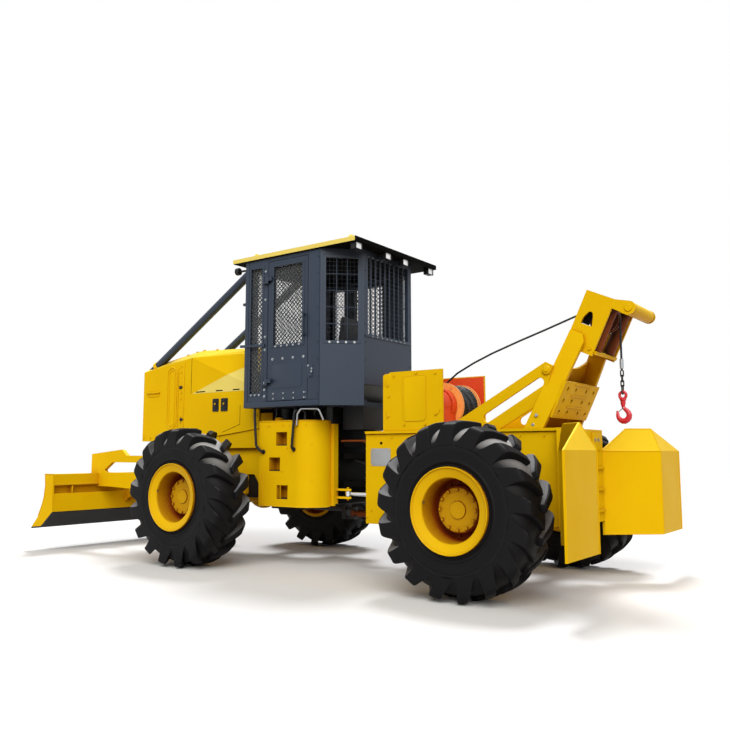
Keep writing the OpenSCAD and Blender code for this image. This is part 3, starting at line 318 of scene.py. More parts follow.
def rounded_box(x0, x1, z0, z1, r, steps=5):
    """Outline of a rectangle with round corners."""
    return [(cx + r * math.cos(math.radians(a + 90 * k / steps)), cz + r * math.sin(math.radians(a + 90 * k / steps)))
            for cx, cz, a in ((x1 - r, z1 - r, 0), (x0 + r, z1 - r, 90), (x0 + r, z0 + r, 180), (x1 - r, z0 + r, 270))
            for k in range(steps + 1)]


def level(u, v, w):
    """For plates cut in x and y that lie flat."""
    return (u, v, w)


def ring_at(p, u, v, r, sides):
    """A round ring about a place, in the plane of two directions."""
    return [p + r * (u * c + v * s) for c, s in circle(sides)]


class Shape:
    """Collects forms for one piece. Places are millimetres, and side -1 mirrors them across the middle plane."""

    def __init__(self, side=1, to_world=at):
        self.bm = bmesh.new()
        self.side = side
        self.to_world = to_world

    def both(self):
        """What stands in a loop over this is built on the left and then mirrored on the right."""
        for self.side in (1, -1):
            yield self.side
        self.side = 1

    def loops(self, rings, ends="capped"):
        """Skins a list of rings, each a list of places. Its ends are capped, open or joined to each other."""
        rows = [[self.bm.verts.new(self.to_world(x, y * self.side, z)) for x, y, z in ring] for ring in rings]
        n = len(rows[0])
        for a, b in zip(rows, rows[1:] + (rows[:1] if ends == "joined" else [])):
            for k in range(n):
                self.bm.faces.new((a[k], a[(k + 1) % n], b[(k + 1) % n], b[k]))
        if ends == "capped":
            self.bm.faces.new(rows[0][::-1])
            self.bm.faces.new(rows[-1])
        return rows

    def prism(self, outline, place, low, high, bevel=0.0, segments=2):
        """An outline of (u, v) becomes a plate from low to high along place(u, v, w)."""
        rows = self.loops([[place(u, v, w) for u, v in outline] for w in (low, high)])
        if bevel:
            edges = {e for row in rows for v in row for e in v.link_edges}
            bmesh.ops.bevel(self.bm, geom=list(edges), offset=bevel * MM, segments=segments, profile=0.6,
                            affect="EDGES", clamp_overlap=True)

    def slab(self, outline, y, high, bevel=0.0, low=0.0, segments=2):
        """A plate of (x, z) that stands across y and ends high outside it. low counts to the left on either side."""
        self.prism(outline, lambda u, v, w: (u, y + w, v), low * self.side, high, bevel, segments)

    def box(self, low, high, bevel=3.0):
        (x0, y0, z0), (x1, y1, z1) = low, high
        self.prism(rect(x0, x1, y0, y1), level, z0, z1, bevel)

    def lathe(self, section, place, steps=48):
        """A closed section of (along, radius) turned round an axis: place(along, a, b)."""
        self.loops([[place(s, r * a, r * b) for s, r in section] for a, b in circle(steps)], "joined")

    def tube(self, path, r, sides=10):
        """A round tube along a path of places."""
        path = [Vector(p) for p in path]
        normal = Vector((0, 0, 1)) if abs((path[1] - path[0]).normalized().z) < 0.9 else Vector((1, 0, 0))
        rings = []
        for i, p in enumerate(path):
            way = (path[min(i + 1, len(path) - 1)] - path[max(i - 1, 0)]).normalized()
            normal = (normal - way * normal.dot(way)).normalized()
            rings.append(ring_at(p, normal, way.cross(normal), r, sides))
        self.loops(rings)

    def bead(self, outline, place, r, sides=10):
        """A round bead all along an outline of (u, v)."""
        self.tube([place(u, v) for u, v in outline + outline[:1]], r, sides)

    def rod(self, a, b, r, sides=24, bevel=0.0):
        """A round bar between two places, with its end edges broken."""
        flip = Vector((1, self.side, 1))
        a, b = Vector(a) * flip, Vector(b) * flip
        way = (b - a).normalized()
        normal = way.orthogonal().normalized()
        stations = [(a, r), (b, r)]
        if bevel:
            stations = [(a, r - bevel), (a + way * bevel, r), (b - way * bevel, r), (b, r - bevel)]
        self.loops([[q * flip for q in ring_at(p, normal, way.cross(normal), size, sides)] for p, size in stations])

    def pin(self, x, z, y0, y1, r, sides=24, bevel=0.0):
        self.rod((x, y0, z), (x, y1, z), r, sides, bevel)

    def mesh(self, name):
        bmesh.ops.recalc_face_normals(self.bm, faces=self.bm.faces)
        mesh = bpy.data.meshes.new(name)
        self.bm.to_mesh(mesh)
        self.bm.free()
        return mesh

    def done(self, name, paint, body=FRONT, slot=None, smooth=SMOOTH):
        """Turns the forms into an object that rides on a body."""
        return show(self.mesh(name), name, paint, body, slot, smooth)


def show(mesh, name, paint, body=FRONT, slot=None, smooth=SMOOTH):
    """Links a mesh as a visible piece in its finish, riding on a body."""
    made = bpy.data.objects.new(name.replace(" ", "_"), mesh)
    bpy.context.scene.collection.objects.link(made)
    mesh.materials.clear()
    mesh.materials.append(PAINT[paint])
    mesh.shade_smooth()
    mesh.set_sharp_from_angle(angle=math.radians(smooth))
    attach(made, body)
    slot or SLOT_OF[paint]
    return made


def rounded(points, bend, steps=6):
    """A route with each inner corner turned into an arc."""
    points = [Vector(p) for p in points]
    route = [points[0]]
    for before, here, after in zip(points, points[1:], points[2:]):
        d1, d2 = (here - before).normalized(), (after - here).normalized()
        turn = d1.angle(d2)
        if turn < 0.01:  # it runs straight on
            route.append(here)
            continue
        centre = here + (d2 - d1).normalized() * bend / math.cos(turn / 2)
        e = (here - d1 * bend * math.tan(turn / 2) - centre).normalized()
        route += [centre + bend * (e * math.cos(turn * k / steps) + d1 * math.sin(turn * k / steps))
                  for k in range(steps + 1)]
    return route + [points[-1]]


def drape(a, b, sag, steps=14, lean=(0, 0, 0)):
    """A hose between two places that sags by a length, with its middle pushed aside by lean."""
    a, b, lean = Vector(a), Vector(b), Vector(lean)
    pull = 4 * (lean - Vector((0, 0, sag)))
    return [a.lerp(b, t) + pull * t * (1 - t) for t in (k / steps for k in range(steps + 1))]


# ---- geometry node trees ----

TREES = {}


def new_tree(name, **inputs):
    """A node group with a geometry input, the named inputs, a material, and a geometry output."""
    tree = bpy.data.node_groups.new(name, "GeometryNodeTree")
    for label, kind in {"Geometry": "Geometry", **inputs, "Material": "Material"}.items():
        tree.interface.new_socket(label, in_out="INPUT", socket_type=f"NodeSocket{kind}")
    tree.interface.new_socket("Geometry", in_out="OUTPUT", socket_type="NodeSocketGeometry")
    return tree, add(tree, "NodeGroupInput").outputs


def end_tree(key, tree, geometry, material):
    """Realizes what was instanced, sets its material, closes the tree and keeps it."""
    real = add(tree, "GeometryNodeRealizeInstances", {"Geometry": geometry})
    painted = add(tree, "GeometryNodeSetMaterial", {"Geometry": real, "Material": material})
    add(tree, "NodeGroupOutput", {"Geometry": painted})
    TREES[key] = tree


def bolt_tree():
    """A washer and a hexagon head on each mark, turned to face the way that the mark says."""
    tree, given = new_tree("bolts on marks", Flats="Float", Height="Float")
    half, wide, thin = (add(tree, "ShaderNodeMath", {0: given[size], 1: share}, operation="MULTIPLY")
                        for size, share in (("Flats", 0.577), ("Flats", 0.86), ("Height", 0.25)))
    head = add(tree, "GeometryNodeMeshCone",
               {"Vertices": 6, "Radius Top": half, "Radius Bottom": half, "Depth": given["Height"]})
    washer = add(tree, "GeometryNodeMeshCylinder", {"Vertices": 14, "Radius": wide, "Depth": thin})
    both = add(tree, "GeometryNodeJoinGeometry", {0: [head, washer]})
    facing = add(tree, "GeometryNodeInputNamedAttribute", {"Name": "facing"}, data_type="FLOAT_VECTOR")
    turn = add(tree, "FunctionNodeAlignRotationToVector", {"Vector": facing}, axis="Z")
    marks = add(tree, "GeometryNodeMeshToPoints", {"Mesh": given["Geometry"]})
    placed = add(tree, "GeometryNodeInstanceOnPoints", {"Points": marks, "Instance": both, "Rotation": turn})
    end_tree("bolts", tree, placed, given["Material"])


def wire_tree():
    """Each edge of a line drawing becomes a wire."""
    tree, given = new_tree("wires on lines", Radius="Float", Sides="Int")
    lines = add(tree, "GeometryNodeMeshToCurve", {"Mesh": given["Geometry"]})
    section = add(tree, "GeometryNodeCurvePrimitiveCircle", {"Resolution": given["Sides"], "Radius": given["Radius"]})
    swept = add(tree, "GeometryNodeCurveToMesh", {"Curve": lines, "Profile Curve": section, "Fill Caps": True})
    end_tree("wires", tree, swept, given["Material"])


def ring_tree():
    """Copies a form round the Y axis and moves the ring to its place."""
    tree, given = new_tree("copies round an axle", Count="Int", Centre="Vector")
    dots = add(tree, "GeometryNodePoints", {"Count": given["Count"]})
    step = add(tree, "ShaderNodeMath", {0: math.tau, 1: given["Count"]}, operation="DIVIDE")
    angle = add(tree, "ShaderNodeMath", {0: add(tree, "GeometryNodeInputIndex"), 1: step}, operation="MULTIPLY")
    turn = add(tree, "ShaderNodeCombineXYZ", {"Y": angle})
    placed = add(tree, "GeometryNodeInstanceOnPoints",
                 {"Points": dots, "Instance": given["Geometry"], "Rotation": turn})
    moved = add(tree, "GeometryNodeTransform", {"Geometry": placed, "Translation": given["Centre"]})
    end_tree("ring", tree, moved, given["Material"])


def rope_tree():
    """Lays a rope of six strands along a line by twisting a lobed section."""
    tree, given = new_tree("stranded rope", Radius="Float", Lay="Float", Spacing="Float")
    line = add(tree, "GeometryNodeMeshToCurve", {"Mesh": given["Geometry"]})
    even = add(tree, "GeometryNodeResampleCurve", {"Curve": line, "Length": given["Spacing"]}, mode="LENGTH")
    way = add(tree, "GeometryNodeSplineParameter").outputs["Length"]
    turns = add(tree, "ShaderNodeMath", {0: way, 1: given["Lay"]}, operation="DIVIDE")
    tilt = add(tree, "ShaderNodeMath", {0: turns, 1: math.tau}, operation="MULTIPLY")
    twisted = add(tree, "GeometryNodeSetCurveTilt", {"Curve": even, "Tilt": tilt})
    inner = add(tree, "ShaderNodeMath", {0: given["Radius"], 1: 0.8}, operation="MULTIPLY")
    lobes = add(tree, "GeometryNodeCurveStar", {"Points": 6, "Inner Radius": inner, "Outer Radius": given["Radius"]})
    strands = add(tree, "GeometryNodeCurveToMesh", {"Curve": twisted, "Profile Curve": lobes, "Fill Caps": True})
    end_tree("rope", tree, strands, given["Material"])


def line_mesh(name, lines):
    """A drawing of lines, each a list of places in millimetres, as edges."""
    verts, edges = [], []
    for line in lines:
        start = len(verts)
        verts += [at(*p) for p in line]
        edges += [(start + k, start + k + 1) for k in range(len(line) - 1)]
    mesh = bpy.data.meshes.new(name)
    mesh.from_pydata(verts, edges, [])
    return mesh


def grown(mesh, name, tree, inputs, paint, body, smooth):
    """Runs a node tree on a mesh and keeps the result as a plain piece."""
    scratch = bpy.data.objects.new(name + " source", mesh)
    bpy.context.scene.collection.objects.link(scratch)
    modifier = scratch.modifiers.new("grow", "NODES")
    modifier.node_group = TREES[tree]
    inputs = dict(inputs, Material=PAINT[paint])
    for item in TREES[tree].interface.items_tree:
        if item.in_out == "INPUT" and item.name in inputs:
            modifier[item.identifier] = inputs[item.name]
    seen = scratch.evaluated_get(bpy.context.evaluated_depsgraph_get())
    result = bpy.data.meshes.new_from_object(seen)
    result.name = name
    bpy.data.objects.remove(scratch)
    return show(result, name, paint, body, smooth=smooth)


def mirrored(marks, sides=(1, -1)):
    """Marks of the left side, each (place, facing), with their mirror images."""
    return [((x, s * y, z), (a, s * b, c)) for s in sides for (x, y, z), (a, b, c) in marks]


def side_marks(y, places, sides=(1, -1)):
    """Marks at places of (x, z) on a face at y that looks outwards, with their mirror images."""
    return mirrored([((x, y, z), (0, 1, 0)) for x, z in places], sides)


def bolts(name, marks, flats, body=FRONT, paint="steel"):
    """Bolt heads at marks, each (place in mm, facing)."""
    mesh = bpy.data.meshes.new(name)
    mesh.from_pydata([at(*p) for p, _ in marks], [], [])
    facing = mesh.attributes.new("facing", "FLOAT_VECTOR", "POINT")
    for k, (_, n) in enumerate(marks):
        facing.data[k].vector = n
    grown(mesh, name, "bolts", {"Flats": flats * MM, "Height": flats * 0.65 * MM}, paint, body, 30.0)


def wires(name, place, depth, lines, r, body, paint, sides):
    """Wires along lines of (u, v) on a panel."""
    lines = [[place(*p, depth) for p in line] for line in lines]
    grown(line_mesh(name, lines), name, "wires", {"Radius": r * MM, "Sides": sides}, paint, body, 60.0)


def clipped(u, v, du, dv, width, height):
    """The part of a slanted line that lies inside a rectangle, as two (u, v) places."""
    low, high = -1e9, 1e9
    for start, step, size in ((u, du, width), (v, dv, height)):
        a, b = sorted((-start / step, (size - start) / step))
        low, high = max(low, a), min(high, b)
    return None if high - low < 1e-3 else ((u + low * du, v + low * dv), (u + high * du, v + high * dv))


def diamonds(width, height, pitch_u, pitch_v):
    """Lines of an expanded metal mesh in a rectangle."""
    count = int(width / pitch_u + height / pitch_v) + 2
    found = [clipped(k * pitch_u, 0.0, pitch_u * sign, pitch_v, width, height)
             for k in range(-count, count + 1) for sign in (1, -1)]
    return [line for line in found if line]


def squares(width, height, nu, nv):
    """Lines that part a rectangle into nu by nv fields."""
    return ([((width * k / nu, 0), (width * k / nu, height)) for k in range(1, nu)]
            + [((0, height * k / nv), (width, height * k / nv)) for k in range(1, nv)])


# ---- wheels ----

# Half section of the tyre: distance from its middle, radius. Ribs guard the rim and mark the shoulder.
TYRE_HALF = (
    (213, 331.5), (214, 352), (214, 371), (221, 383), (230, 392), (231, 404), (226, 411), (226, 436), (229, 458),
    (232, 480), (233, 500), (231, 506), (231, 511), (233.3, 516), (233.3, 528), (231, 546), (225, 566), (212, 592),
    (193, 619), (170, 643), (143, 662), (110, 675), (70, 682), (0, 685),
)
# Stations of a lug from the middle of the tread to its end face on the side wall: distance from the middle, radius of
# its top, offset along the tread, half width of its top, radius and half width of its foot
LUG = (
    (4, 722, 30, 24, 668, 38), (11, 730, 36, 31, 668, 44), (60, 730, 74, 34, 668, 46), (100, 730, 102, 37, 660, 50),
    (140, 728, 128, 41, 646, 55), (170, 723, 147, 45, 624, 58), (196, 716, 163, 48, 598, 62),
    (214, 708, 174, 50, 574, 68), (226, 697, 182, 51, 550, 76), (231.5, 684, 186, 52, 532, 84),
    (233.3, 668, 188, 53, 524, 90),
)
# Half section of the rim and hub from the solid model, with rolled edges
RIM = (
    (-120, 60.5), (-120, 158), (-113, 165), (-70, 175), (-70, 312), (-235, 318), (-235, 350), (-231, 354), (-219, 354),
    (-215, 350), (-215, 331), (212, 331), (215, 334), (215, 350), (219, 354), (243, 354), (249, 351), (250, 346),
    (246, 341), (238, 337), (212, 268), (204, 262), (196, 260.5), (-30, 250), (-36, 246), (-36, 207), (-32, 203),
    (56, 193), (60, 189), (60, 186), (67, 185.5), (75, 183), (78, 179), (78, 150), (75, 147), (75, 74), (84, 70),
    (84, 0), (-20, 0), (-20, 60.5),
)
BEAD_R, CROWN_R = 505, 706  # radii up to which the side wall is black, and past which the lugs' tops are


def wheels():
    """Name, body, side, middle and place(along, a, b) of each wheel."""
    for end, x in (("front", WHEELBASE), ("rear", 0.0)):
        for side, word in SIDES:
            centre = Vector((x, side * WHEEL_Y, WHEEL_Z))
            yield (f"{end}_{word}", f"wheel_{end}_{word}", side, centre,
                   lambda s, a, b, side=side, centre=centre: centre + Vector((a, s * side, b)))


def blacken(piece, low, high):
    """Gives the faces of a wheel's piece that lie between two radii the plain black rubber."""
    piece.data.materials.append(PAINT["wall"])
    xs, zs = [v.co.x for v in piece.data.vertices], [v.co.z for v in piece.data.vertices]
    x, z = (min(xs) + max(xs)) / 2, (min(zs) + max(zs)) / 2
    for face in piece.data.polygons:
        if low * MM < math.hypot(face.center.x - x, face.center.z - z) < high * MM:
            face.material_index = 1


def lug_mesh(side, outward):
    """One lug beside the wheel's middle, in metres; outward is 1 for the outer half of the tread."""
    shape = Shape(to_world=lambda *p: Vector(p) * MM)
    rings = []
    for a, top, slant, half, foot, wide in LUG:
        low, near = top - 16, half + 5
        flank = [(foot, wide), ((foot + low) / 2, (wide + near) / 2 - 5), (low, near), (top - 4, half + 1),
                 (top, half - 6)]
        ring = [(r, slant - off) for r, off in flank] + [(r, slant + off) for r, off in reversed(flank)]
        rings.append([(math.sqrt(max(r * r - t * t, 1.0)), side * outward * a, -t) for r, t in ring])
    shape.loops(rings)
    return shape.mesh("lug")


def joined(name, pieces):
    """Joins pieces that share a body, a paint and a slot into the first one."""
    bm = bmesh.new()
    for piece in pieces:
        bm.from_mesh(piece.data)
    for piece in pieces[1:]:
        bpy.data.objects.remove(piece)
    bm.to_mesh(pieces[0].data)
    bm.free()
    pieces[0].name = name.replace(" ", "_")
    return pieces[0]


def make_tyres(count):
    section = list(TYRE_HALF) + [(-a, r) for a, r in reversed(TYRE_HALF[:-1])]
    for name, body, side, centre, place in wheels():
        shape = Shape()
        shape.lathe(section, place, 144)
        carcass = shape.done(f"tyre {name}", "casing", body, smooth=30)
        blacken(carcass, 0, BEAD_R)
        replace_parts(carcass, f"tyre_{name}")
        halves = []
        for outward, phase in ((1, 0.0), (-1, 0.5)):
            mesh = lug_mesh(side, outward)
            mesh.transform(Matrix.Rotation(phase * math.tau / count, 4, "Y"))
            halves.append(grown(mesh, f"lugs {name} {outward}", "ring", {"Count": count, "Centre": at(*centre)},
                                "rubber", body, 30))
        blacken(joined(f"tread lugs {name}", halves), CROWN_R, 740)


def make_rims():
    for name, body, side, _, place in wheels():
        shape = Shape()
        shape.lathe(RIM, place, 112)
        # weld bead where the disc meets the barrel
        shape.lathe([(-36 + 6 * c, 248 + 6 * s) for c, s in circle(8)], place, 72)
        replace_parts(shape.done(f"rim {name}", "rim", body, smooth=32), f"rim_{name}")
        for label, count, shift, along, r, flats in (("hub bolts", 12, 0.0, 79, 164, 20),
                                                     ("wheel nuts", 16, 0.5, -36, 228, 24)):
            marks = [(place(along, r * c, r * s), (0, side, 0)) for c, s in circle(count, shift=shift)]
            bolts(f"{label} {name}", marks, flats, body, "rim")
        valve = Shape()
        valve.tube(rounded([place(190, 262, 60), place(206, 250, 60), place(222, 236, 60)], 8), 5)
        valve.rod(place(218, 240, 60), place(226, 232.5, 60), 7.5, 12, 1.5)
        valve.done(f"valve {name}", "plastic", body)


# ---- cab ----


def cab_panels():
    """Each window of the cab: name, body, place(u, v, depth) with depth 0 in the wall's outer face, width, height."""
    a, b = QUARTER
    along = (b - a).normalized()
    inward = Vector((-along.y, along.x))
    (q0, q1), (low, high) = QUARTER_WINDOW
    start = (a + b) / 2 - along * q1
    for side, word in SIDES:
        for name, body, ((x0, x1), (z0, z1)) in (("door", f"{word}_door", DOOR_WINDOW),
                                                 ("front side", FRONT, SIDE_WINDOW)):
            yield (f"{name} {word}", body,
                   lambda u, v, d=0.0, s=side, x=x1, z=z0: (x - u, s * (CAB_Y - d), z + v), x1 - x0, z1 - z0)

        def oblique(u, v, d=0.0, s=side):
            p = start + along * u + inward * d
            return (p.x, s * p.y, low + v)

        yield f"quarter {word}", FRONT, oblique, q1 - q0, high - low
    (y0, y1), (z0, z1) = REAR_WINDOW
    yield "rear", FRONT, lambda u, v, d=0.0, y=y1, z=z0: (1530 + d, y - u, z + v), y1 - y0, z1 - z0
    (y0, y1), (z0, z1) = FRONT_WINDOW
    yield "windscreen", FRONT, lambda u, v, d=0.0, y=y0, z=z0: (2950 - d, y + u, z + v), y1 - y0, z1 - z0


REAR_BARS = [(k - 3.5) * 88 for k in range(8)]  # where the bars over the rear window stand


def make_mesh_guards(pitch, wire):
    for name, body, place, w, h in cab_panels():
        square = name.startswith(("quarter", "rear"))
        if square:
            lines = squares(w, h, round(w / 46), round(h / 46))
            wires(f"window mesh {name}", place, 12, lines, 1.9, body, "guard", 6)
        else:
            wires(f"window mesh {name}", place, 12, diamonds(w, h, pitch, pitch * 0.96), wire / 2, body, "guard", 4)
        if name.startswith("quarter"):
            wires(f"guard bars {name}", place, 8, squares(w, h, 3, 5), 4.5, body, "cab", 8)
        count = max(3, round(w / 85))
        marks = [place(w * (k + 0.5) / count, -13, -5) for k in range(count)]
        if name == "rear":
            marks = [place(w / 2 + y, -22, 0) for y in REAR_BARS]
        else:
            # flat bar round the opening, laps over its edge and stands proud of the wall
            bars, lap, edge = Shape(), 6, 22 if name.startswith("front side") else 26
            for field in ((-edge, w + edge, -edge, lap), (-edge, w + edge, h - lap, h + edge), (-edge, lap, 0, h),
                          (w - lap, w + edge, 0, h)):
                bars.prism(rect(*field), lambda u, v, d: place(u, v, -d), -2, 5, 2.0, 1)
            bars.done(f"window frame {name}", "cab", body, smooth=30)
        out = (Vector(place(0, 0, -1)) - Vector(place(0, 0, 0))).normalized()
        bolts(f"window bolts {name}", [(p, out) for p in marks], 14, body)
        if not square:
            glazing = Shape()
            glazing.prism(rect(2, w - 2, 2, h - 2), lambda u, v, d: place(u, v, 30 + d), 0, 6)
            glazing.done(f"glazing {name}", "glass", body, smooth=30)


# Plates on the cab's corners and sill: x from and to, z from and to, thickness, bevel
CAB_PLATES = (
    (1878, 2028, 1745, 3322, 7, 3.0), (2612, 2664, 1745, 1948, 5, 2.0), (2612, 2664, 1990, 3040, 5, 2.0),
    (2896, 2948, 1745, 3322, 6, 2.5), (1880, 2948, 1682, 1738, 8, 3.0),
)


def make_cab_sides():
    for side, word in SIDES:
        body = f"{word}_door"
        # bolt rows on the door's lower panel and over its foot
        rows = [(2530 - k * 146, 2196) for k in range(4)]
        rows += [(2505 - k * 143, z) for k in range(4) for z in (1768, 1822)]
        bolts(f"door bolts {word}", side_marks(CAB_Y, rows, (side,)), 17, body)
        door = Shape(side)
        # stiffening swage of the door's lower panel and a kick plate
        door.slab(rounded_box(2112, 2528, 1880, 2150, 40), CAB_Y - 2, 5, 2.0)
        door.slab(rounded_box(2066, 2574, 1752, 1840, 8), CAB_Y - 2, 4, 1.2)
        door.done(f"door skin {word}", "cab", body)
        latch = Shape(side)
        latch.slab(rounded_box(1958, 2034, 1962, 2104, 14), CAB_Y, 10, 2.5)
        latch.pin(1990, 1990, CAB_Y + 6, CAB_Y + 22, 17, 24, 3)
        latch.done(f"door latch {word}", "cab")
        bolts(f"latch bolts {word}", side_marks(CAB_Y + 9, ((2020, 2094), (1972, 2060), (1976, 2030)), (side,)), 13)
        seal = Shape(side)
        for x in (2034, 2597):
            seal.slab(rect(x, x + 10, 1743, 3280), CAB_Y - 38, 26, 2.0, segments=1)
        seal.done(f"door seal {word}", "hose")
        posts = Shape(side)
        for x0, x1, z0, z1, thick, bevel in CAB_PLATES:
            posts.slab(rect(x0, x1, z0, z1), CAB_Y - 2, thick, bevel)
        # bracket across the front mesh that stands out past the corner, and the lamp stub on the corner
        posts.slab([(2640, 2340), (3010, 2356), (3010, 2386), (2640, 2370)], CAB_Y + 4, 14, 3.0)
        posts.rod((2952, CAB_Y - 20, 2848), (2998, CAB_Y - 20, 2848), 17, 24, 4)
        posts.done(f"cab posts {word}", "cab")
        for label, x, heights, flats, paint in (
            ("cab", 2640, (1800, 1869, 1945, 2306, 2449, 2860, 3176), 16, "steel"),
            ("pillar", 1898, range(1800, 3300, 180), 11, "cab"),
        ):
            marks = side_marks(CAB_Y + 5, [(x, z) for z in heights], (side,))
            bolts(f"{label} bolts {word}", marks, flats, paint=paint)
        # lamp on a bracket at the head of the limb riser
        lamp, lens = Shape(side), Shape(side)
        lamp.rod((3050, 756, 3236), (3102, 756, 3236), 42, 32, 8)
        lamp.rod((2952, 736, 3236), (3054, 752, 3236), 12, 12)
        lamp.done(f"corner lamp shell {word}", "black")
        lens.rod((3100, 756, 3236), (3106, 756, 3236), 36, 32, 2)
        lens.done(f"corner lamp lens {word}", "lamp")


def make_cab_ends():
    # rear wall: bar feet and the bent sill
    rear = Shape()
    rear.box((1521, -440, 2396), (1533, 440, 2420))
    for y in REAR_BARS:
        for z in (2428, 3250):
            rear.rod((1552, y, z), (1552, y, z + 18), 17, 20, 3)
    rear.done("rear sill", "cab")
    bolts("rear wall bolts", [((1530, y, z), (-1, 0, 0)) for y in (-430, 430) for z in range(1960, 3300, 190)], 11,
          paint="cab")
    wiper = Shape()
    wiper.tube([(2954, 40, 2112), (2956, -160, 2420), (2956, -300, 2640)], 5)
    wiper.box((2950, -316, 2500), (2957, -292, 2900), 2)
    wiper.rod((2946, 40, 2108), (2964, 40, 2108), 16, 20, 3)
    wiper.done("windscreen wiper", "black")


def make_roof():
    (x0, x1), y, (z0, z1) = ROOF
    roof, lining, lump = Shape(), Shape(), Shape()
    # stiffening ribs pressed into the roof plate, and the row of bolts round it
    for mid in (-420, -140, 140, 420):
        roof.prism(rounded_box(x0 + 160, x1 - 160, mid - 45, mid + 45, 40), level, z1 - 2, z1 + 9, 5.0)
    roof.done("roof ribs", "roof")
    places = [(x, s * (y - 28)) for s in (1, -1) for x in range(1450, 3100, 150)]
    places += [(x, across) for x in (x0 + 28, x1 - 28) for across in range(-650, 700, 130)]
    bolts("roof bolts", [((*p, z1), (0, 0, 1)) for p in places], 15, paint="roof")
    # near black lining under the overhanging roof, a painted shade, and along its rear edge
    lining.box((x0 + 5, -y + 5, z0 - 5), (x1 - 5, y - 5, z0 + 1), 1.5)
    lining.box((x0 - 2.5, -y - 1, z0 - 3), (x0 + 6, y + 1, z1 + 1.5), 1.5)
    lining.done("roof shade lining", "gap_and_shade_black", slot="black_paint")
    shells, lenses = Shape(), Shape()
    for mid in (700, 170, -170, -700):
        shells.box((1426, mid - 57, 3250), (1480, mid + 57, 3325), 7)
        for y0, y1, low, high in ((-57, -46, 3250, 3325), (46, 57, 3250, 3325), (-57, 57, 3250, 3258),
                                  (-57, 57, 3317, 3325)):
            shells.box((1412, mid + y0, low), (1428, mid + y1, high), 2)
        lenses.prism(rounded_box(mid - 46, mid + 46, 3258, 3317, 6), lambda u, v, w: (1418 + w, u, v), 0, 8, 1.5)
    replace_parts(shells.done("work lamp shells", "black"), "work_lamps")
    lenses.done("work lamp lenses", "lamp")
    lump.rod((2000, 300, z1 - 2), (2000, 300, z1 + 55), 62, 40, 14)
    lump.rod((1640, 420, z1 - 2), (1640, 420, z1 + 46), 40, 32, 10)
    lump.done("roof beacon base", "roof")


# ---- inside of the cab ----


def cushion(name, low, high, crown, seams, tilt=None):
    """A crowned, closed pad between two corners: sides pull in between its corners, seams press in across it."""
    low, high = Vector(low), Vector(high)
    size, centre = high - low, (low + high) / 2
    n, layers, grid, shape = 14, 4, {}, Shape()

    def key(i, j, k):
        if (i, j, k) not in grid:
            u, v, w = (2 * i / n - 1, 2 * j / n - 1, 2 * k / layers - 1)
            p = Vector((u * (1 - 0.05 * (1 - v * v) * (abs(u) > 0.99)), v * (1 - 0.05 * (1 - u * u) * (abs(v) > 0.99)),
                        w * (1 - 0.25 * (abs(u) ** 6 + abs(v) ** 6))))
            if w > 0.9:
                groove = sum(math.exp(-((((u, v)[axis] - s) / 0.05) ** 2)) for axis, s in seams)
                inside = max(abs(u), abs(v)) < 0.95
                p.z += crown * (1 - u * u) * (1 - v * v) - 0.16 * min(groove, 1.0) * inside
            p = centre + p * size / 2
            grid[i, j, k] = shape.bm.verts.new(at(*(tilt(p) if tilt else p)))
        return grid[i, j, k]

    for i in range(n):
        for j in range(n):
            for k, order in ((0, -1), (layers, 1)):
                quad = [key(i, j, k), key(i + 1, j, k), key(i + 1, j + 1, k), key(i, j + 1, k)]
                shape.bm.faces.new(quad[::order])
        for k in range(layers):
            for a, b in (((i, 0), (i + 1, 0)), ((i + 1, n), (i, n)), ((n, i), (n, i + 1)), ((0, i + 1), (0, i))):
                shape.bm.faces.new((key(*a, k), key(*b, k), key(*b, k + 1), key(*a, k + 1)))
    made = shape.done(name, "vinyl", smooth=60)
    rounder = made.modifiers.new("soften", "SUBSURF")
    rounder.levels = rounder.render_levels = 2
    seen = made.evaluated_get(bpy.context.evaluated_depsgraph_get())
    smooth = bpy.data.meshes.new_from_object(seen)
    made.modifiers.clear()
    made.data = smooth
    return made


def make_seat():
    lean = math.radians(9)

    def back(p):
        """Stands a pad that lies flat on its lower edge, leaning to the rear."""
        d, h = p.z - 2060, p.x - 2000
        return Vector((2118 - h * math.sin(lean) - d * math.cos(lean), p.y,
                       2140 + h * math.cos(lean) - d * math.sin(lean)))

    base = cushion("seat cushion", (2060, -236, 2016), (2478, 236, 2128), 0.35, ((1, -0.5), (1, 0.5), (0, 0.2)))
    rest = cushion("seat backrest", (2005, -226, 2062), (2560, 226, 2150), 0.3, ((1, -0.5), (1, 0.5), (0, 0.35)), back)
    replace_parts(base, "seat")
    stand, arms = Shape(), Shape()
    stand.box((2090, -170, 1742), (2400, 170, 1790), 8)
    for k in range(6):
        # folds of the bellows
        z, x, y = 1792 + k * 34, 4 * (k % 2), 6 * (k % 2)
        stand.box((2110 + x, -150 + y, z), (2380 - x, 150 - y, z + 31), 10)
    stand.box((2070, -225, 1994), (2460, 225, 2018), 6)
    stand.box((2010, -215, 2030), (2034, 215, 2650), 8)
    stand.done("seat suspension", "plastic")
    for _ in arms.both():
        arms.box((2130, 258, 2230), (2430, 322, 2274), 14)
        arms.box((2150, 276, 1990), (2200, 304, 2236), 6)
        arms.rod((2390, 290, 2270), (2400, 290, 2380), 8, 16)
        arms.rod((2400, 290, 2376), (2404, 290, 2440), 19, 20, 8)
    arms.done("armrests and levers", "plastic")


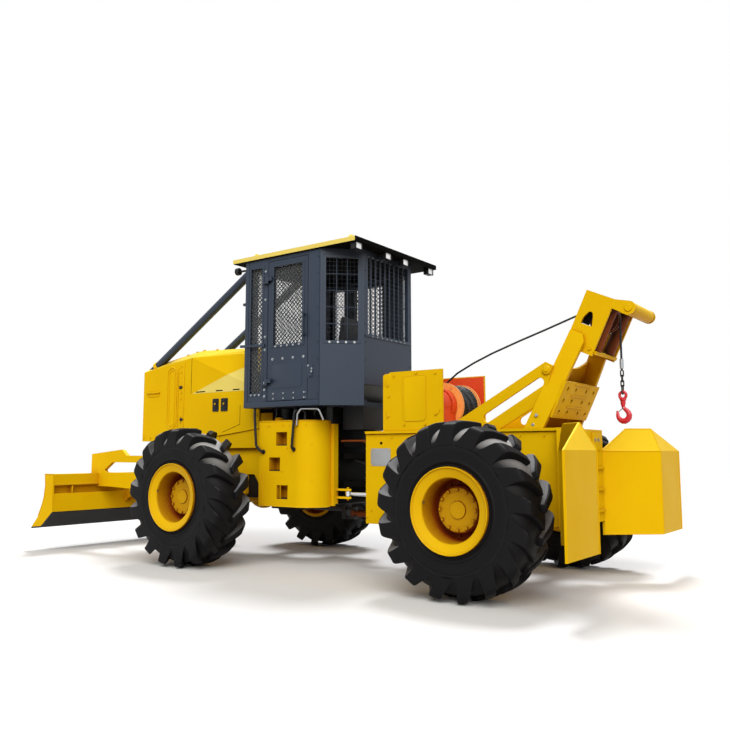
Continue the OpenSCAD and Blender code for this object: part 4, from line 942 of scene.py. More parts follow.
def make_dash():
    dash, dials = Shape(), Shape()
    dash.slab([(2690, 2100), (2896, 2100), (2896, 2225), (2760, 2225), (2690, 2170)], -330, 660, 10)
    dash.box((2640, 40, 1741), (2700, 110, 1760), 4)
    dash.box((2650, -120, 1760), (2696, -50, 1772), 4)
    dash.done("dash panel", "plastic")
    for y in (-200, -140, -80, -20):
        dials.rod((2722, y, 2196), (2716, y, 2203), 24, 28, 2)
    dials.done("dash dials", "plate", slot="lamp")


# ---- hood, tanks and frame joint ----


def strip(shape, a, b, wide, proud):
    """A straight bead between two (x, z) places on the hood's side."""
    a, b = Vector(a), Vector(b)
    n = (b - a).normalized().orthogonal() * wide / 2
    shape.slab([a + n, b + n, b - n, a - n], HOOD_Y, proud, low=-1)


def make_hood():
    x0, x1 = HOOD_X
    seams, vents, highlight_plates, fillers, doors, top = (Shape() for _ in range(6))
    louvres = ((3622, 3722), (3470, 3581))
    for _ in seams.both():
        for a, b in (((CREASE_X, 1908), (CREASE_X - 2, 2346)), ((3560, 1432), (3268, 1520)),
                     ((3268, 1520), (3266, 1740))):
            strip(seams, a, b, 5, 1.5)
        for a, b in ((4023, 3860), (3675, 3560), (3390, 3280)):
            strip(seams, (a, 1926), (b, 1926), 14, 2)
    seams.done("hood seams", "gap_and_shade_black")
    for _ in vents.both():
        for low, high in louvres:
            vents.slab(rounded_box(low, high, 1680, 1833, 8), HOOD_Y, 6, 2.0, low=-1)
            for k in range(6):
                z = 1696 + k * 22
                vents.slab([(low + 10, z), (high - 10, z), (high - 10, z + 13), (low + 10, z + 6)], HOOD_Y, 16, low=4)
        for x, z in ((4300, 1998), (4278, 1600)):
            vents.pin(x, z, HOOD_Y, HOOD_Y + 14, 20, 20, 3)
            vents.box((x - 42, HOOD_Y, z - 9), (x - 4, HOOD_Y + 9, z + 9), 2)
    # pale plates on the side where the hood narrows to the cab, which carry a painted reflection: x, y, z of their two
    # flats
    for _ in highlight_plates.both():
        for flat in (((4090, 500, 1908), (3489, 500, 2108), (2962, 500, 1908)),
                     ((3489, 500, 2108), (2962, 400, 2278), (2962, 500, 1908))):
            a, b, c = flat = [Vector(p) for p in flat]
            way = (b - a).cross(c - a).normalized()
            way *= 1.0 if way.y > 0 else -1.0
            highlight_plates.loops([[p + way * d for p in flat] for d in (-3.0, 1.6)])
    # side plates between the hood and the frame, and the skirt in front of the tank
    for _ in fillers.both():
        fillers.slab([(2775, 1250), (3900, 1250), (3900, 1520), (2958, 1520), (2958, 1640), (2775, 1640)], 474, 10, 1)
    # The pale enamel of these plates is a painted reflection.
    highlight_plates.done("hood ledges", "roof", slot="yellow")
    fillers.done("frame side plates", "yellow")
    vents.done("hood vents", "black")
    marks = side_marks(HOOD_Y + 14, [((low + high) / 2, 1768) for low, high in louvres])
    marks += side_marks(HOOD_Y, [(4290, z) for z in (2254, 2180, 2015, 1930, 1854, 1632, 1560)]
                        + [(x, 1380) for x in range(4200, 5000, 130)] + [(x0 + 40, z) for z in (1620, 1760, 1880)])
    bolts("hood bolts", marks, 15, paint="yellow")
    for _ in doors.both():
        # long slot with a rolled edge, its inner lip and the hinge bar beside it
        for inset, r in ((0, 6.5), (34, 4.5)):
            ring = rounded_box(4378 + inset, 4546 - inset, 1488 + inset, 2252 - inset, 84 - inset, 8)
            doors.bead(ring, lambda u, v: (u, HOOD_Y + 2, v), r)
        for k in range(17):
            doors.rod((4346, HOOD_Y + 3, 1520 + k * 43), (4346, HOOD_Y + 3, 1556 + k * 43), 8, 14, 2)
        doors.slab(rounded_box(4233, 4262, 1486, 2300, 6), HOOD_Y, 5, 1.5, low=-1)
        doors.slab(rounded_box(4686, 4935, 1944, 1966, 9), HOOD_Y, 20, 5.0, low=-2)
        doors.slab([(4686, 1958), (4935, 1958), (4905, 1900), (4716, 1900)], HOOD_Y, 5, 2.0, low=-2)
    doors.done("hood doors", "yellow")
    for _ in top.both():
        top.rod((4875, 410, 2284), (4838, 410, 2309), 66, 36, 8)
    top.done("riser foot collars", "yellow")
    studs = []
    for x in (4380, 4210, 4080, 3850):
        # the top falls 130 towards the nose and 40 towards the cab
        fall = 130 * (x - CREASE_X) / (x1 - CREASE_X) if x > CREASE_X else 40 * (CREASE_X - x) / 1150
        studs.append(((x, 322, 2452 - fall), (0, 0, 1)))
    bolts("hood top bolts", mirrored(studs), 26, paint="yellow")
    grille, rim = Shape(), Shape()
    # Radiator core: dark in itself, and painted near black as the shade behind the grille.
    grille.prism(rounded_box(-392, 392, 1430, 2140, 20), lambda u, v, w: (x1 + w, u, v), -42, -40, 0.5)
    grille.done("radiator core", "gap_and_shade_black")
    rim.bead(rounded_box(-380, 380, 1442, 2130, 24), lambda u, v: (x1 + 1, u, v), 9)
    rim.done("grille frame", "yellow")
    bolts("grille bolts", [((x1, y, z), (1, 0, 0)) for y in (-430, 430) for z in range(1480, 2140, 150)], 16)


def tank_side(x, proud=0.0):
    """Place and facing on the outer face of the left step tank, which turns in behind TANK_TURN_X."""
    if x >= TANK_TURN_X:
        return (x, TANK_Y + proud), (0, 1, 0)
    c, s = math.cos((TANK_TURN_X - x) / TANK_BEND), math.sin((TANK_TURN_X - x) / TANK_BEND)
    return (TANK_TURN_X - (TANK_BEND + proud) * s, TANK_Y - TANK_BEND + (TANK_BEND + proud) * c), (-s, c, 0)


def make_tanks():
    marks, seam, treads, lines, rail = [], Shape(), Shape(), Shape(), Shape()
    for x, z in ((2640, 1478), (2610, 1478), (2420, 1484), (2330, 1484), (2352, 1246), (2250, 1250), (2447, 1000),
                 (2420, 1000), (2120, 1480), (2060, 900), (2060, 1280)):
        place, out = tank_side(x)
        marks.append(((*place, z), out))
    turn = [TANK_TURN_X - 31 * k for k in range(13)]
    for _ in seam.both():
        # weld beads round the top and foot of the tank
        for z in (1529, 632):
            seam.tube([(*tank_side(x)[0], z) for x in [2762] + turn], 5, 8)
        for x in (2700, 2448):
            seam.tube([(x, TANK_Y, 640), (x, TANK_Y, 990)], 3.5, 8)
        # the tank's lid with its cap
        lid = [tank_side(x, -30)[0] for x in [2750] + turn[:12]]
        seam.prism(lid + [(2000, 425), (2750, 425)], level, 1529, 1541, 3)
        seam.rod((2600, 560, 1538), (2600, 560, 1575), 48, 32, 6)
    for _ in treads.both():
        for x, z in ((2440, 1342), (2537, 1073), (2424, 781)):
            treads.box((x - 74, 586, z - 71), (x + 74, 698, z - 64), 2)
            for px in range(x - 56, x + 57, 28):
                for y in (608, 642, 676):
                    treads.rod((px, y, z - 65), (px, y, z - 59), 8, 12, 2)
    seam.done("tank welds and lids", "yellow")
    treads.done("step treads", "black")
    bolts("tank bolts", mirrored(marks), 11, paint="yellow")
    for _ in lines.both():
        # hoses that come down from the cab floor to the valves in the frame, and rail clamps
        for x, end in ((2640, 2700), (2380, 2330), (2100, 2120)):
            lines.tube(rounded([(x, 560, 1678), (x, 560, 1600), (end, 520, 1560), (end, 480, 1545)], 24), 10, 12)
        for x, z in ((2695, 1205), (2262, 1230)):
            lines.pin(x, z, TANK_Y, TANK_Y + 12, 24, 24, 3)
    for k in range(5):
        y = -160 + 80 * k
        route = [(1930, y, 1490), (1840 - 12 * k, y * 0.8, 1470), (1790, y * 0.6, 1420), (1800, y * 0.6, 1250)]
        lines.tube(rounded(route, 60), 12, 12)
    lines.done("cab hoses", "hose")
    for _ in rail.both():
        rail.tube(rounded([(2215, 716, 1480), (2198, 724, 1600), (2150, 724, 1652), (1925, 708, 1646),
                           (1900, 660, 1534)], 34), 11, 14)
    rail.done("grab rails", "steel")


def across_joint(shape, name, paint):
    """A hose across the frame joint, taken off its body and fixed where it lies."""
    made = shape.done(name, paint)
    made.parent = None
    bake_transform(made)


def make_joint():
    fittings, caps, shade_curtain, grease = (Shape() for _ in range(4))
    for k in range(6):
        # steering and winch hoses that sag across the frame joint
        y, shape = -150 + 60 * k, Shape()
        a, b = (2030, y, 1190 + 14 * (k % 2)), (1200, y * 0.8, 1240 - 10 * (k % 3))
        shape.tube(drape(a, b, 90 + 25 * (k % 3), 26, (0, 8 * (k - 2.5), 0)), 12 if k % 2 else 15, 12)
        across_joint(shape, f"joint hose {k + 1}", "hose")
        fittings.rod((2040, y, 1190), (2004, y, 1190), 19, 6, 2)
    for side, name in SIDES:
        # the stiff hose that runs straight across the joint at each side
        shape = Shape(side)
        shape.tube([(1875 - 30 * k, 385, 1318) for k in range(11)] + [(1545, 385, 1312), (1500, 385, 1290)], 11, 12)
        across_joint(shape, f"side hose {name}", "drive")
    fittings.done("hose fittings front", "steel")
    for z in PIVOT_Z:
        for up in (1, -1):
            caps.rod((PIVOT_X, 0, z + up * 88), (PIVOT_X, 0, z + up * 104), 62, 32, 4)
    caps.done("joint pin caps", "steel")
    bolts("joint cap bolts", [((PIVOT_X + 46 * c, 46 * s, 1324), (0, 0, 1)) for c, s in circle(6)], 14)
    # Near black rubber sheets across the frame joint and behind the front wheels, where only shade is seen: painted
    # shade.
    shade_curtain.box((1990, -388, 640), (1996, 388, 1678), 1)
    shade_curtain.box((2000, -4, 1500), (2940, 4, 1678), 1)
    for _ in shade_curtain.both():
        shade_curtain.box((3040, 392, 690), (3640, 398, 1180), 1)
    shade_curtain.done("joint curtain", "hose")
    for _ in grease.both():
        for z in PIVOT_Z:
            grease.rod((PIVOT_X + 60, 60, z + 60), (PIVOT_X + 72, 72, z + 66), 7, 10, 2)
    grease.done("grease nipples", "steel")


def make_cylinders():
    """Gland nuts, port blocks and pin caps of the steering and lift cylinders."""
    for side, word in SIDES:
        base, eye = Vector(STEER_BASE), Vector(STEER_EYE)
        way = (eye - base).normalized()
        ports = Shape(side)
        ports.rod(base + way * 590, base + way * 606, 52, 32, 4)
        for along, low in ((110, 44), (520, 40)):
            p = base + way * along
            ports.box(p + Vector((-18, -18, low)), p + Vector((18, 18, low + 30)), 4)
        ports.done(f"steer ports {word}", "drive", f"steer_barrel_{word[0]}")
    glands = Shape()
    way = (LIFT_EYE - LIFT_BASE).normalized()
    across = way.cross(Vector((0, 1, 0))).normalized()
    for _ in glands.both():
        glands.rod(LIFT_BASE + way * 448, LIFT_BASE + way * 468, 55, 32, 4)
        for d in (90, 420):
            p = LIFT_BASE + way * d
            glands.rod(p - across * 44, p - across * 70, 17, 20, 3)
    glands.done("lift cylinder glands", "black", "lift_barrel_pair")


# ---- winch, arch and rope ----


def drum_at(s, a, b):
    """A place by the winch drum's axis: s to the left along it, a forward and b up from it."""
    return (DRUM[0] + a, s, DRUM[1] + b)


def make_winch():
    covers, shade_sheet, wheel, gearbox, hoses = (Shape() for _ in range(5))
    x, z = DRUM
    for _ in covers.both():
        # corner plate that closes the front of the panel up to its top
        corner = [(1200, 1988), (1200, 1862), (1296, 1862), (1296, 1952)]
        corner += [(1264 + 32 * c, 1952 + 32 * s) for c, s in circle(24)[1:7]]
        covers.slab(corner, PANEL_Y - 24, 24.5, 1.0)
        ring = rounded_box(790, 1057, 1507, 1949, 42, 6)
        covers.slab(ring, PANEL_Y, 4, 1.5, low=-1)
        covers.bead(ring, lambda u, v: (u, PANEL_Y + 3, v), 3.5, 8)
        for cx, turn in ((1200, 1), (700, -1)):
            covers.tube([(cx + turn * 66 * c, PANEL_Y + 2, 1620 - 66 * s) for c, s in circle(48)[1:12]], 4, 8)
    covers.done("winch covers", "yellow", REAR)
    # Red orange sheets on the panels' inner faces: painted shade of the yellow inside the housing.
    for _ in shade_sheet.both():
        shade_sheet.slab(rect(612, 1216, 1416, 1990), 425.5, -3, 0.5)
    shade_sheet.done("winch panel shade sheets", "orange", REAR)
    bolts("winch bolts", side_marks(PANEL_Y, ((1162, 1960), (1240, 1865), (1223, 1757), (1240, 1552), (680, 1564),
                                              (680, 1961), (900, 1975), (1040, 1470), (800, 1470))), 17, REAR, "yellow")
    # cable wound on the drum, two layers of turns
    turns, steps = [], 40
    for layer, r in enumerate((197, 214)):
        turns.append([drum_at(-215 + 20.5 * (k / steps) + 10 * layer, r * c, r * s)
                      for k, (c, s) in enumerate(circle(steps, (15 - layer) * steps + 1))])
    grown(line_mesh("drum windings", turns), "drum windings", "rope",
          {"Radius": ROPE_R, "Lay": 0.12, "Spacing": 0.022}, "wire", "drum", 50)
    for y0, y1, dy in ((-245, -221, -1), (106, 130, 1)):
        wheel.lathe([(y0 - 1, 60), (y0 - 1, 231), (y0 + 2, 236.5), (y1 - 2, 236.5), (y1 + 1, 231), (y1 + 1, 60)],
                    drum_at, 64)
        face = y0 - 1 if dy < 0 else y1 + 1
        for c, s in circle(6):
            wheel.pin(x + 205 * c, z + 205 * s, face, face + dy * 3.4, 14, 20, 1)
    wheel.done("drum flanges", "cream", "drum")
    gearbox.lathe([(136, 60), (136, 168), (142, 174), (210, 174), (216, 168), (216, 156), (418, 152), (418, 60)],
                  drum_at, 56)
    for c, s in circle(8, shift=0.5):
        gearbox.box(drum_at(216, 160 * c - 11, 160 * s - 11), drum_at(232, 160 * c + 11, 160 * s + 11), 4)
    gearbox.lathe([(-418, 60), (-418, 128), (-300, 128), (-262, 118), (-254, 96), (-254, 60)], drum_at)
    gearbox.done("winch gearbox", "orange", REAR)
    for k in range(4):
        y = -40 + 60 * k
        hoses.tube(rounded([(1000 + 20 * k, 250, 1560), (1110, y, 1500), (1180, y, 1440), (1180, y, 1390)], 50), 10, 12)
    hoses.done("winch hoses", "hose", REAR)


def make_rear_frame():
    plate, dark, seams = Shape(), Shape(), Shape()
    for _ in plate.both():
        plate.slab(rounded_box(1207, 1446, 1062, 1238, 6), PANEL_Y, 3, 1.0, low=-1)
    plate.done("blank plates", "plate", REAR)
    # Near black discs in the frame's side holes: painted shade.
    for _ in dark.both():
        dark.pin(1320, 1290, PANEL_Y - 4, PANEL_Y + 2, 15, 24, 1)
    dark.done("frame side holes", "gap_and_shade_black", REAR)
    places = [(1220, 1075), (1433, 1075), (1220, 1225), (1433, 1225), (1491, 551), (1440, 620)]
    places += [(x, 1342) for x in range(-420, 1200, 230)]
    bolts("rear frame bolts", side_marks(PANEL_Y, places), 14, REAR, "yellow")
    for _ in seams.both():
        seams.tube([(-540, PANEL_Y + 1, 1384), (1480, PANEL_Y + 1, 1384)], 5, 8)
        # block that holds the stiff hose
        seams.prism(rect(-14, 14, -14, 14), lambda u, v, w: (1520 + w, 385 + u, 1312 + v), 0, 60, 3)
    seams.done("rear frame welds", "drive", REAR)
    for wheel_x, body in ((0.0, REAR), (WHEELBASE, FRONT)):
        part = Shape()
        for _ in part.both():
            part.lathe([(880, 60), (880, 148), (888, 156), (930, 156), (936, 148), (936, 60)],
                       lambda s, a, b: (wheel_x + a, s, WHEEL_Z + b), 40)
        part.done(f"axle end flange {body}", "yellow", body)
        marks = [((wheel_x + 138 * c, 880, WHEEL_Z + 138 * s), (0, -1, 0)) for c, s in circle(10, shift=0.5)]
        bolts(f"axle flange bolts {body}", mirrored(marks), 22, body)


def make_arch():
    trim, shade_sheet, holes, collars, rollers, pins = (Shape() for _ in range(6))
    v, w = ROLLER
    for _ in trim.both():
        # cap of the top roller's pin, collar and lock plate of the brace's pin
        end = arch_at(w, 300, v)
        for c, proud, r, sides, bevel in ((end, 9, 33, 32, 4), ((-442, 410, 1923), 18, 40, 32, 5),
                                          ((-442, 410, 1923), 26, 20, 24, 3)):
            trim.pin(c[0], c[2], c[1], c[1] + proud, r, sides, bevel)
    # sleeve that turns on the top roller's pin
    trim.rod(arch_at(w, -262, v), arch_at(w, 262, v), 57.5, 40, 5)
    trim.done("arch pin caps", "yellow", REAR)
    marks = [(arch_at(w, 300, v), (0, 1, 0)) for v, w in ((812, -60), (812, 60), (840, -140))]
    bolts("arch bolts", mirrored(marks), 20, REAR, "yellow")
    # near black sheets behind the head's windows: painted shade of the sheave inside
    for _ in shade_sheet.both():
        shade_sheet.loops([[arch_at(w, d, v) for w, v in rect(-175, -40, 1000, 1180)] for d in (266, 273)])
    shade_sheet.done("sheave shade sheets", "gap_and_shade_black", REAR)
    # holes of the cross plate, closed by near black discs as painted shade, each with a raised collar
    for y in (-318, -128, 128, 318):
        for v in (203, 311, 419):
            holes.rod(arch_at(4, y, v), arch_at(18, y, v), 17.5, 20)
            a, b = arch_at(21, y, v), arch_at(28, y, v)
            way, left = (b - a).normalized(), Vector((0, 1, 0))
            collars.loops([ring_at(a + way * d, left, way.cross(left), r, 20)
                           for r, d in ((17.5, -4), (17.5, 4), (22, 4), (23, 0))], "open")
    holes.done("cross plate shade discs", "gap_and_shade_black", REAR)
    collars.done("cross plate collars", "yellow", REAR)
    for _ in rollers.both():
        for v in (815, 1200):
            rollers.rod(arch_at(65, 170, v - 6), arch_at(65, 170, v + 6), 53, 32, 3)
    rollers.done("guide roller collars", "drive", REAR)
    for _ in pins.both():
        for x, z in ((-351, 1523), (-318, 1440)):
            pins.pin(x, z, PANEL_Y, PANEL_Y + 12, 15, 24, 3)
    pins.done("arch foot pins", "steel", REAR)


# Forged hook from its neck round the bowl to its tip: forward from the neck, z, half thickness
HOOK = (
    (0, 1668, 15), (0, 1650, 19), (0, 1628, 19), (0, 1606, 14), (-3, 1592, 13), (-14, 1578, 14.5), (-32, 1562, 17),
    (-46, 1542, 19), (-51, 1522, 20.5), (-46, 1500, 21.5), (-32, 1482, 22), (-12, 1472, 22), (10, 1473, 21),
    (29, 1483, 19), (43, 1500, 16.5), (50, 1520, 14), (51, 1538, 11.5), (53, 1552, 9), (57, 1564, 5.5),
)


def make_rope():
    path = rounded(ROPE_PATH, 30, 4)
    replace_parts(grown(line_mesh("winch rope", [path]), "winch rope", "rope",
                      {"Radius": ROPE_R, "Lay": 0.13, "Spacing": 0.011}, "wire", REAR, 50), "rope")
    ferrule, hook, latch = Shape(), Shape(), Shape()
    x, _, z = ROPE_PATH[-1]
    ferrule.rod((x, 0, z + 96), (x, 0, z + 6), 17, 28, 5)
    for up in (24, 48, 72):
        ferrule.rod((x, 0, z + up), (x, 0, z + up + 7), 18.5, 28, 2)
    ferrule.done("rope ferrule", "steel", REAR)
    route = [Vector((x + ahead, 0, z)) for ahead, z, _ in HOOK]
    rings, flat = [], Vector((0, 1, 0))
    for k, (p, (_, _, r)) in enumerate(zip(route, HOOK)):
        way = (route[min(k + 1, len(route) - 1)] - route[max(k - 1, 0)]).normalized()
        rings.append(ring_at(p, flat, way.cross(flat).normalized() * 1.2, r, 16))
    hook.loops(rings)
    hook.tube([(x + 29 * c, 0, 1699 + 31 * s) for c, s in circle(24, 25)], 13, 14)
    hook.rod((x, 0, 1674), (x, 0, 1650), 29, 28, 7)
    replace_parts(hook.done("forged hook", "hook", REAR, smooth=60), "hook")
    latch.tube([(x - 4, 0, 1586), (x + 22, 0, 1572), (x + 44, 0, 1552)], 4.5)
    latch.pin(x - 6, 1588, -19, 19, 6, 16, 2)
    latch.done("hook latch", "steel", REAR)


# ---- guards and blade ----


def make_guards():
    welds, butt = Shape(), Shape()
    for _ in welds.both():
        for route in (((-597, 521, 425), (-821, 697, 425), (-1036, 884, 425)),
                      ((-597, 521, 1210), (-821, 697, 1210), (-1036, 884, 1210)),
                      ((-1037, 890, 420), (-1037, 890, 1212)), ((-1037, 1556, 420), (-1037, 1556, 1212)),
                      ((-1036, 884, 1213), (-934, 967, 1428)), ((-597, 521, 1213), (-734, 793, 1428)),
                      ((-734, 793, 1428), (-934, 967, 1428))):
            welds.tube(route, 4.5, 8)
    welds.done("guard seams", "yellow", REAR)
    pads = [(rounded_box(y, y + 228, 1220, 1386, 10), 12, 3.0) for y in (-449, 221)]
    pads += [(rounded_box(-500, 500, z, z + 24, 8), 22, 6.0) for z in (640, 840, 1040)]
    for outline, proud, bevel in pads:
        butt.prism(outline, lambda u, v, w: (-597 - w, u, v), -2, proud, bevel)
    butt.done("butt plate ribs", "yellow", REAR)
    bolts("butt plate bolts", [((-608, y, 1314), (-1, 0, 0)) for y in (-375, -290, 290, 375)], 22, REAR)


def make_blade():
    span, count = 2 * BLADE_HALF - 220, 16
    marks = [((5870, -span / 2 + k * span / (count - 1), 371), (0.75, 0, 0.66)) for k in range(count)]
    bolts("edge bolts", marks, 34, "blade_assembly")
    welds, hoses, nose, tow = (Shape() for _ in range(4))
    for _ in welds.both():
        welds.tube([(x, BLADE_HALF + 1, z) for x, z in ((5540, 935), (5706, 935), (5690, 800), (5715, 620),
                                                        (5820, 420))], 5, 8)
        for x in (5560, 5630):
            welds.tube([(x, 751, 770), (x, 751, 930)], 5, 8)
    for x, z in ((5541, 802), (5541, 812), (5601, 690)):
        welds.tube([(x, 20 - BLADE_HALF, z), (x, BLADE_HALF - 20, z)], 5, 8)
    for y in (-1120, 0, 1120):
        welds.slab(rect(5545, 5602, 700, 800), y - 8, 16, 3)
    welds.done("blade welds and ribs", "yellow", "blade_assembly")
    for _ in hoses.both():
        # lift cylinder hoses from the frame's nose down to the barrel's ports
        hoses.tube(rounded([(4700, 180, 1240), (4800, 190, 1280), (4870, 240, 1300), (4900, 292, 1262)], 40), 10, 12)
    hoses.done("lift hoses", "hose")
    for _ in nose.both():
        nose.pin(4860, 1200, 395, 412, 36, 28, 4)
        nose.pin(4600, 840, 755, 772, 62, 36, 5)
    nose.done("blade pin caps", "steel")
    for _ in tow.both():
        tow.tube([(5010 + 60 * s, 250, 1080 + 55 * c) for c, s in circle(24, 13)], 14, 12)
    tow.done("tow loops", "yellow")


# ---- stage ----


def paint_solids():
    """Gives each CAD node the finish of its slot in the record."""
    finish_of = {slot: key for key, slot in reversed(SLOT_OF.items())}
    slots = {part["node"]: part["material_slot"] for part in frame["record"]["subparts"]}
    for name, node in NODES.items():
        finish = PAINT.get(name) or PAINT[finish_of[slots[name]]]
        if not node.data.materials:
            node.data.materials.append(finish)
        for k in range(len(node.data.materials)):
            node.data.materials[k] = finish


def set_world(brightness):
    """A soft studio: white to the camera, in reflections and through glass; as light, stronger from overhead."""
    world = bpy.data.worlds.new("studio")
    bpy.context.scene.world = world
    world.use_nodes = True
    tree = world.node_tree
    tree.nodes.clear()
    rays = add(tree, "ShaderNodeLightPath").outputs
    seen = rays["Is Camera Ray"]
    for other in ("Is Transmission Ray", "Is Glossy Ray"):
        seen = add(tree, "ShaderNodeMath", {0: seen, 1: rays[other]}, operation="MAXIMUM")
    way = add(tree, "ShaderNodeSeparateXYZ", {0: add(tree, "ShaderNodeTexCoord").outputs["Generated"]})
    height = add(tree, "ShaderNodeMapRange", {"Value": way.outputs[2], "From Min": 0.0, "From Max": 0.9,
                                              "To Min": brightness * 0.45, "To Max": brightness * 1.3})
    light = add(tree, "ShaderNodeBackground", {"Color": linear("#F4F6FA"), "Strength": height})
    white = add(tree, "ShaderNodeBackground", {"Color": linear("#FFFFFF"), "Strength": 1.0})
    whole = add(tree, "ShaderNodeMixShader", {0: seen, 1: light, 2: white})
    add(tree, "ShaderNodeOutputWorld", {"Surface": whole})


def floor_material():
    """Studio floor: white, and it fades into the background with distance from the machine."""
    made, tree = new_material("studio floor")
    where = add(tree, "ShaderNodeTexCoord").outputs["Object"]
    far = add(tree, "ShaderNodeVectorMath", {0: where}, operation="LENGTH").outputs["Value"]
    fade = add(tree, "ShaderNodeMapRange", {"Value": far, "From Min": 5.2, "From Max": 9.5, "To Min": 0.0,
                                            "To Max": 1.0}, interpolation_type="SMOOTHSTEP")
    white = add(tree, "ShaderNodeEmission", {"Color": linear("#FFFFFF"), "Strength": 1.0})
    rays = add(tree, "ShaderNodeLightPath").outputs
    # what the floor throws back on the machine is dimmer and warmer than what the camera sees of it
    tone = add(tree, "ShaderNodeMix", {"Factor": rays["Is Diffuse Ray"], 6: linear("#E4E4E5"), 7: linear("#A08A70")},
               data_type="RGBA")
    matt = add(tree, "ShaderNodeBsdfDiffuse", {"Color": tone.outputs[2]})
    seen = add(tree, "ShaderNodeMath", {0: fade, 1: rays["Is Camera Ray"]}, operation="MULTIPLY")
    add(tree, "ShaderNodeOutputMaterial", {"Surface": add(tree, "ShaderNodeMixShader", {0: seen, 1: matt, 2: white})})
    return made


def placed(name, data):
    """Links a new object of the stage."""
    made = bpy.data.objects.new(name, data)
    bpy.context.scene.collection.objects.link(made)
    return made


def set_stage(settings):
    scene = bpy.context.scene
    camera = bpy.data.cameras.new("photo camera")
    camera.lens, camera.sensor_width, camera.clip_end = settings.lens, 36.0, 200
    eye = placed("photo camera", camera)
    eye.location = at(*settings.camera_place)
    eye.rotation_euler = (math.radians(90 + settings.camera_tilt), 0, math.radians(settings.camera_heading))
    scene.camera = eye
    for name, heading, strength, size, colour in (
        ("key sun", (-0.42, 0.62, 0.6), settings.sun_strength, 50, "#FFFBF2"),
        ("top sun", (0.2, -0.42, 0.88), settings.sun_strength * 0.9, 16, "#FFFFFF"),
    ):
        lamp = bpy.data.lights.new(name, "SUN")
        lamp.energy, lamp.angle, lamp.color = strength, math.radians(size), linear(colour)[:3]
        placed(name, lamp).rotation_euler = Vector(heading).to_track_quat("Z", "Y").to_euler()
    mesh = bpy.data.meshes.new("studio floor")
    mesh.from_pydata([(x, y, 0) for x, y in rect(-60, 60, -60, 60)], [], [(0, 1, 2, 3)])
    mesh.materials.append(floor_material())
    floor = placed("studio_floor", mesh)
    floor.location.z = -0.002
    set_world(settings.sky)
    scene.view_settings.view_transform = "Standard"
    scene.cycles.use_denoising = True
    scene.cycles.max_bounces = 8
    scene.cycles.transparent_max_bounces = 24
    scene.cycles.use_adaptive_sampling = True


# ---- add-on ----


class SkidderSettings(bpy.types.PropertyGroup):
    """Sizes and colours of the dressed skidder."""

    lug_count: IntProperty(name="Lugs per side", description="Tread lugs round each half of a tyre", default=17, min=12,
                           max=22)
    mesh_pitch: FloatProperty(name="Mesh pitch", description="Spacing of the diamond mesh over the side windows, in mm",
                              default=52.0, min=20.0, max=90.0)
    mesh_wire: FloatProperty(name="Mesh wire", description="Thickness of the diamond mesh strands, in mm", default=9.0,
                             min=2.0, max=16.0)
    body_colour: StringProperty(name="Body colour", description="Enamel of the body as an sRGB code", default="#EEC80C")
    cab_colour: StringProperty(name="Cab colour", description="Powder coat of the cab as an sRGB code",
                               default="#2C394C")
    black_colour: StringProperty(name="Chassis colour", description="Black enamel as an sRGB code", default="#141518")
    hook_colour: StringProperty(name="Hook colour", description="Enamel of the hook as an sRGB code", default="#D8122A")
    camera_place: FloatVectorProperty(name="Camera place", size=3, default=(-3150.0, 6880.0, 1190.0),
                                      description="Where the camera stands, in mm from the rear axle")
    camera_heading: FloatProperty(name="Camera heading", description="Turn of the camera about Z, in degrees",
                                  default=-144.0)
    camera_tilt: FloatProperty(name="Camera tilt", description="Tilt of the camera above the horizon, in degrees",
                               default=6.5)
    lens: FloatProperty(name="Lens", description="Focal length in mm on a 36 mm sensor", default=38.17, min=10.0,
                        max=200.0)
    sun_strength: FloatProperty(name="Sun strength", description="Strength of the key light", default=2.65, min=0.0,
                                max=20.0)
    sky: FloatProperty(name="Sky strength", description="Strength of the studio's light from all round", default=0.4,
                       min=0.0, max=5.0)


class SKIDDER_OT_finishes(bpy.types.Operator):
    """Mix the finishes and the node trees, and paint the solid model"""

    bl_idname = "skidder.finishes"
    bl_label = "Finishes"

    def execute(self, context):
        settings = context.scene.skidder
        mix_finishes(settings.body_colour, settings.cab_colour, settings.black_colour, settings.hook_colour)
        for grow in (bolt_tree, wire_tree, ring_tree, rope_tree):
            grow()
        paint_solids()
        return {"FINISHED"}


class SKIDDER_OT_wheels(bpy.types.Operator):
    """Build the tyres with their lugs, and the rims with hubs and nuts"""

    bl_idname = "skidder.wheels"
    bl_label = "Wheels"

    def execute(self, context):
        make_tyres(context.scene.skidder.lug_count)
        make_rims()
        return {"FINISHED"}


class SKIDDER_OT_cab(bpy.types.Operator):
    """Build the window meshes, frames, glazing, door trim and roof details"""

    bl_idname = "skidder.cab"
    bl_label = "Cab"

    def execute(self, context):
        make_mesh_guards(context.scene.skidder.mesh_pitch, context.scene.skidder.mesh_wire)
        make_cab_sides()
        make_cab_ends()
        make_roof()
        return {"FINISHED"}


class SKIDDER_OT_interior(bpy.types.Operator):
    """Build the padded seat, its suspension, the levers and the dash"""

    bl_idname = "skidder.interior"
    bl_label = "Interior"

    def execute(self, context):
        make_seat()
        make_dash()
        return {"FINISHED"}


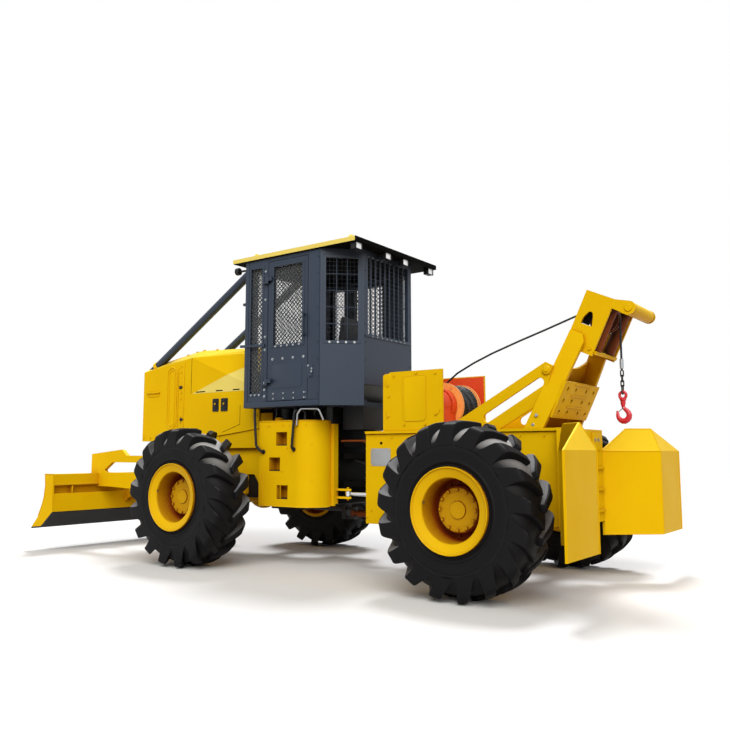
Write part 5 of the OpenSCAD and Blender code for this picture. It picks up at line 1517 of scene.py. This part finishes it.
class SKIDDER_OT_front(bpy.types.Operator):
    """Build the details of the hood, the step tanks, the frame joint and the cylinders"""

    bl_idname = "skidder.front"
    bl_label = "Hood, tanks and joint"

    def execute(self, context):
        make_hood()
        make_tanks()
        make_joint()
        make_cylinders()
        return {"FINISHED"}


class SKIDDER_OT_winch(bpy.types.Operator):
    """Build the winch, the rear frame's details, the arch and the rope"""

    bl_idname = "skidder.winch"
    bl_label = "Winch, arch and rope"

    def execute(self, context):
        make_winch()
        make_rear_frame()
        make_arch()
        make_rope()
        return {"FINISHED"}


class SKIDDER_OT_steelwork(bpy.types.Operator):
    """Build the welds and bolts of the wheel guards, the butt plate and the blade"""

    bl_idname = "skidder.steelwork"
    bl_label = "Guards and blade"

    def execute(self, context):
        make_guards()
        make_blade()
        return {"FINISHED"}


class SKIDDER_OT_stage(bpy.types.Operator):
    """Set the camera, the lights, the floor and the studio background"""

    bl_idname = "skidder.stage"
    bl_label = "Stage"

    def execute(self, context):
        set_stage(context.scene.skidder)
        return {"FINISHED"}


STEPS = (
    SKIDDER_OT_finishes, SKIDDER_OT_wheels, SKIDDER_OT_cab, SKIDDER_OT_interior, SKIDDER_OT_front, SKIDDER_OT_winch,
    SKIDDER_OT_steelwork, SKIDDER_OT_stage,
)


class SKIDDER_PT_panel(bpy.types.Panel):
    """Sidebar panel of the skidder"""

    bl_label = "Cable skidder"
    bl_idname = "SKIDDER_PT_panel"
    bl_space_type = "VIEW_3D"
    bl_region_type = "UI"
    bl_category = "Skidder"

    def draw(self, context):
        settings = context.scene.skidder
        for key in SkidderSettings.__annotations__:
            self.layout.prop(settings, key)
        for step in STEPS:
            self.layout.operator(step.bl_idname)


CLASSES = (SkidderSettings, *STEPS, SKIDDER_PT_panel)


def register():
    for item in CLASSES:
        bpy.utils.register_class(item)
    bpy.types.Scene.skidder = PointerProperty(type=SkidderSettings)


def unregister():
    del bpy.types.Scene.skidder
    for item in reversed(CLASSES):
        bpy.utils.unregister_class(item)


def main():
    register()
    for step in STEPS:
        group, name = step.bl_idname.split(".")
        getattr(getattr(bpy.ops, group), name)()


if __name__ == "__main__":
    main()
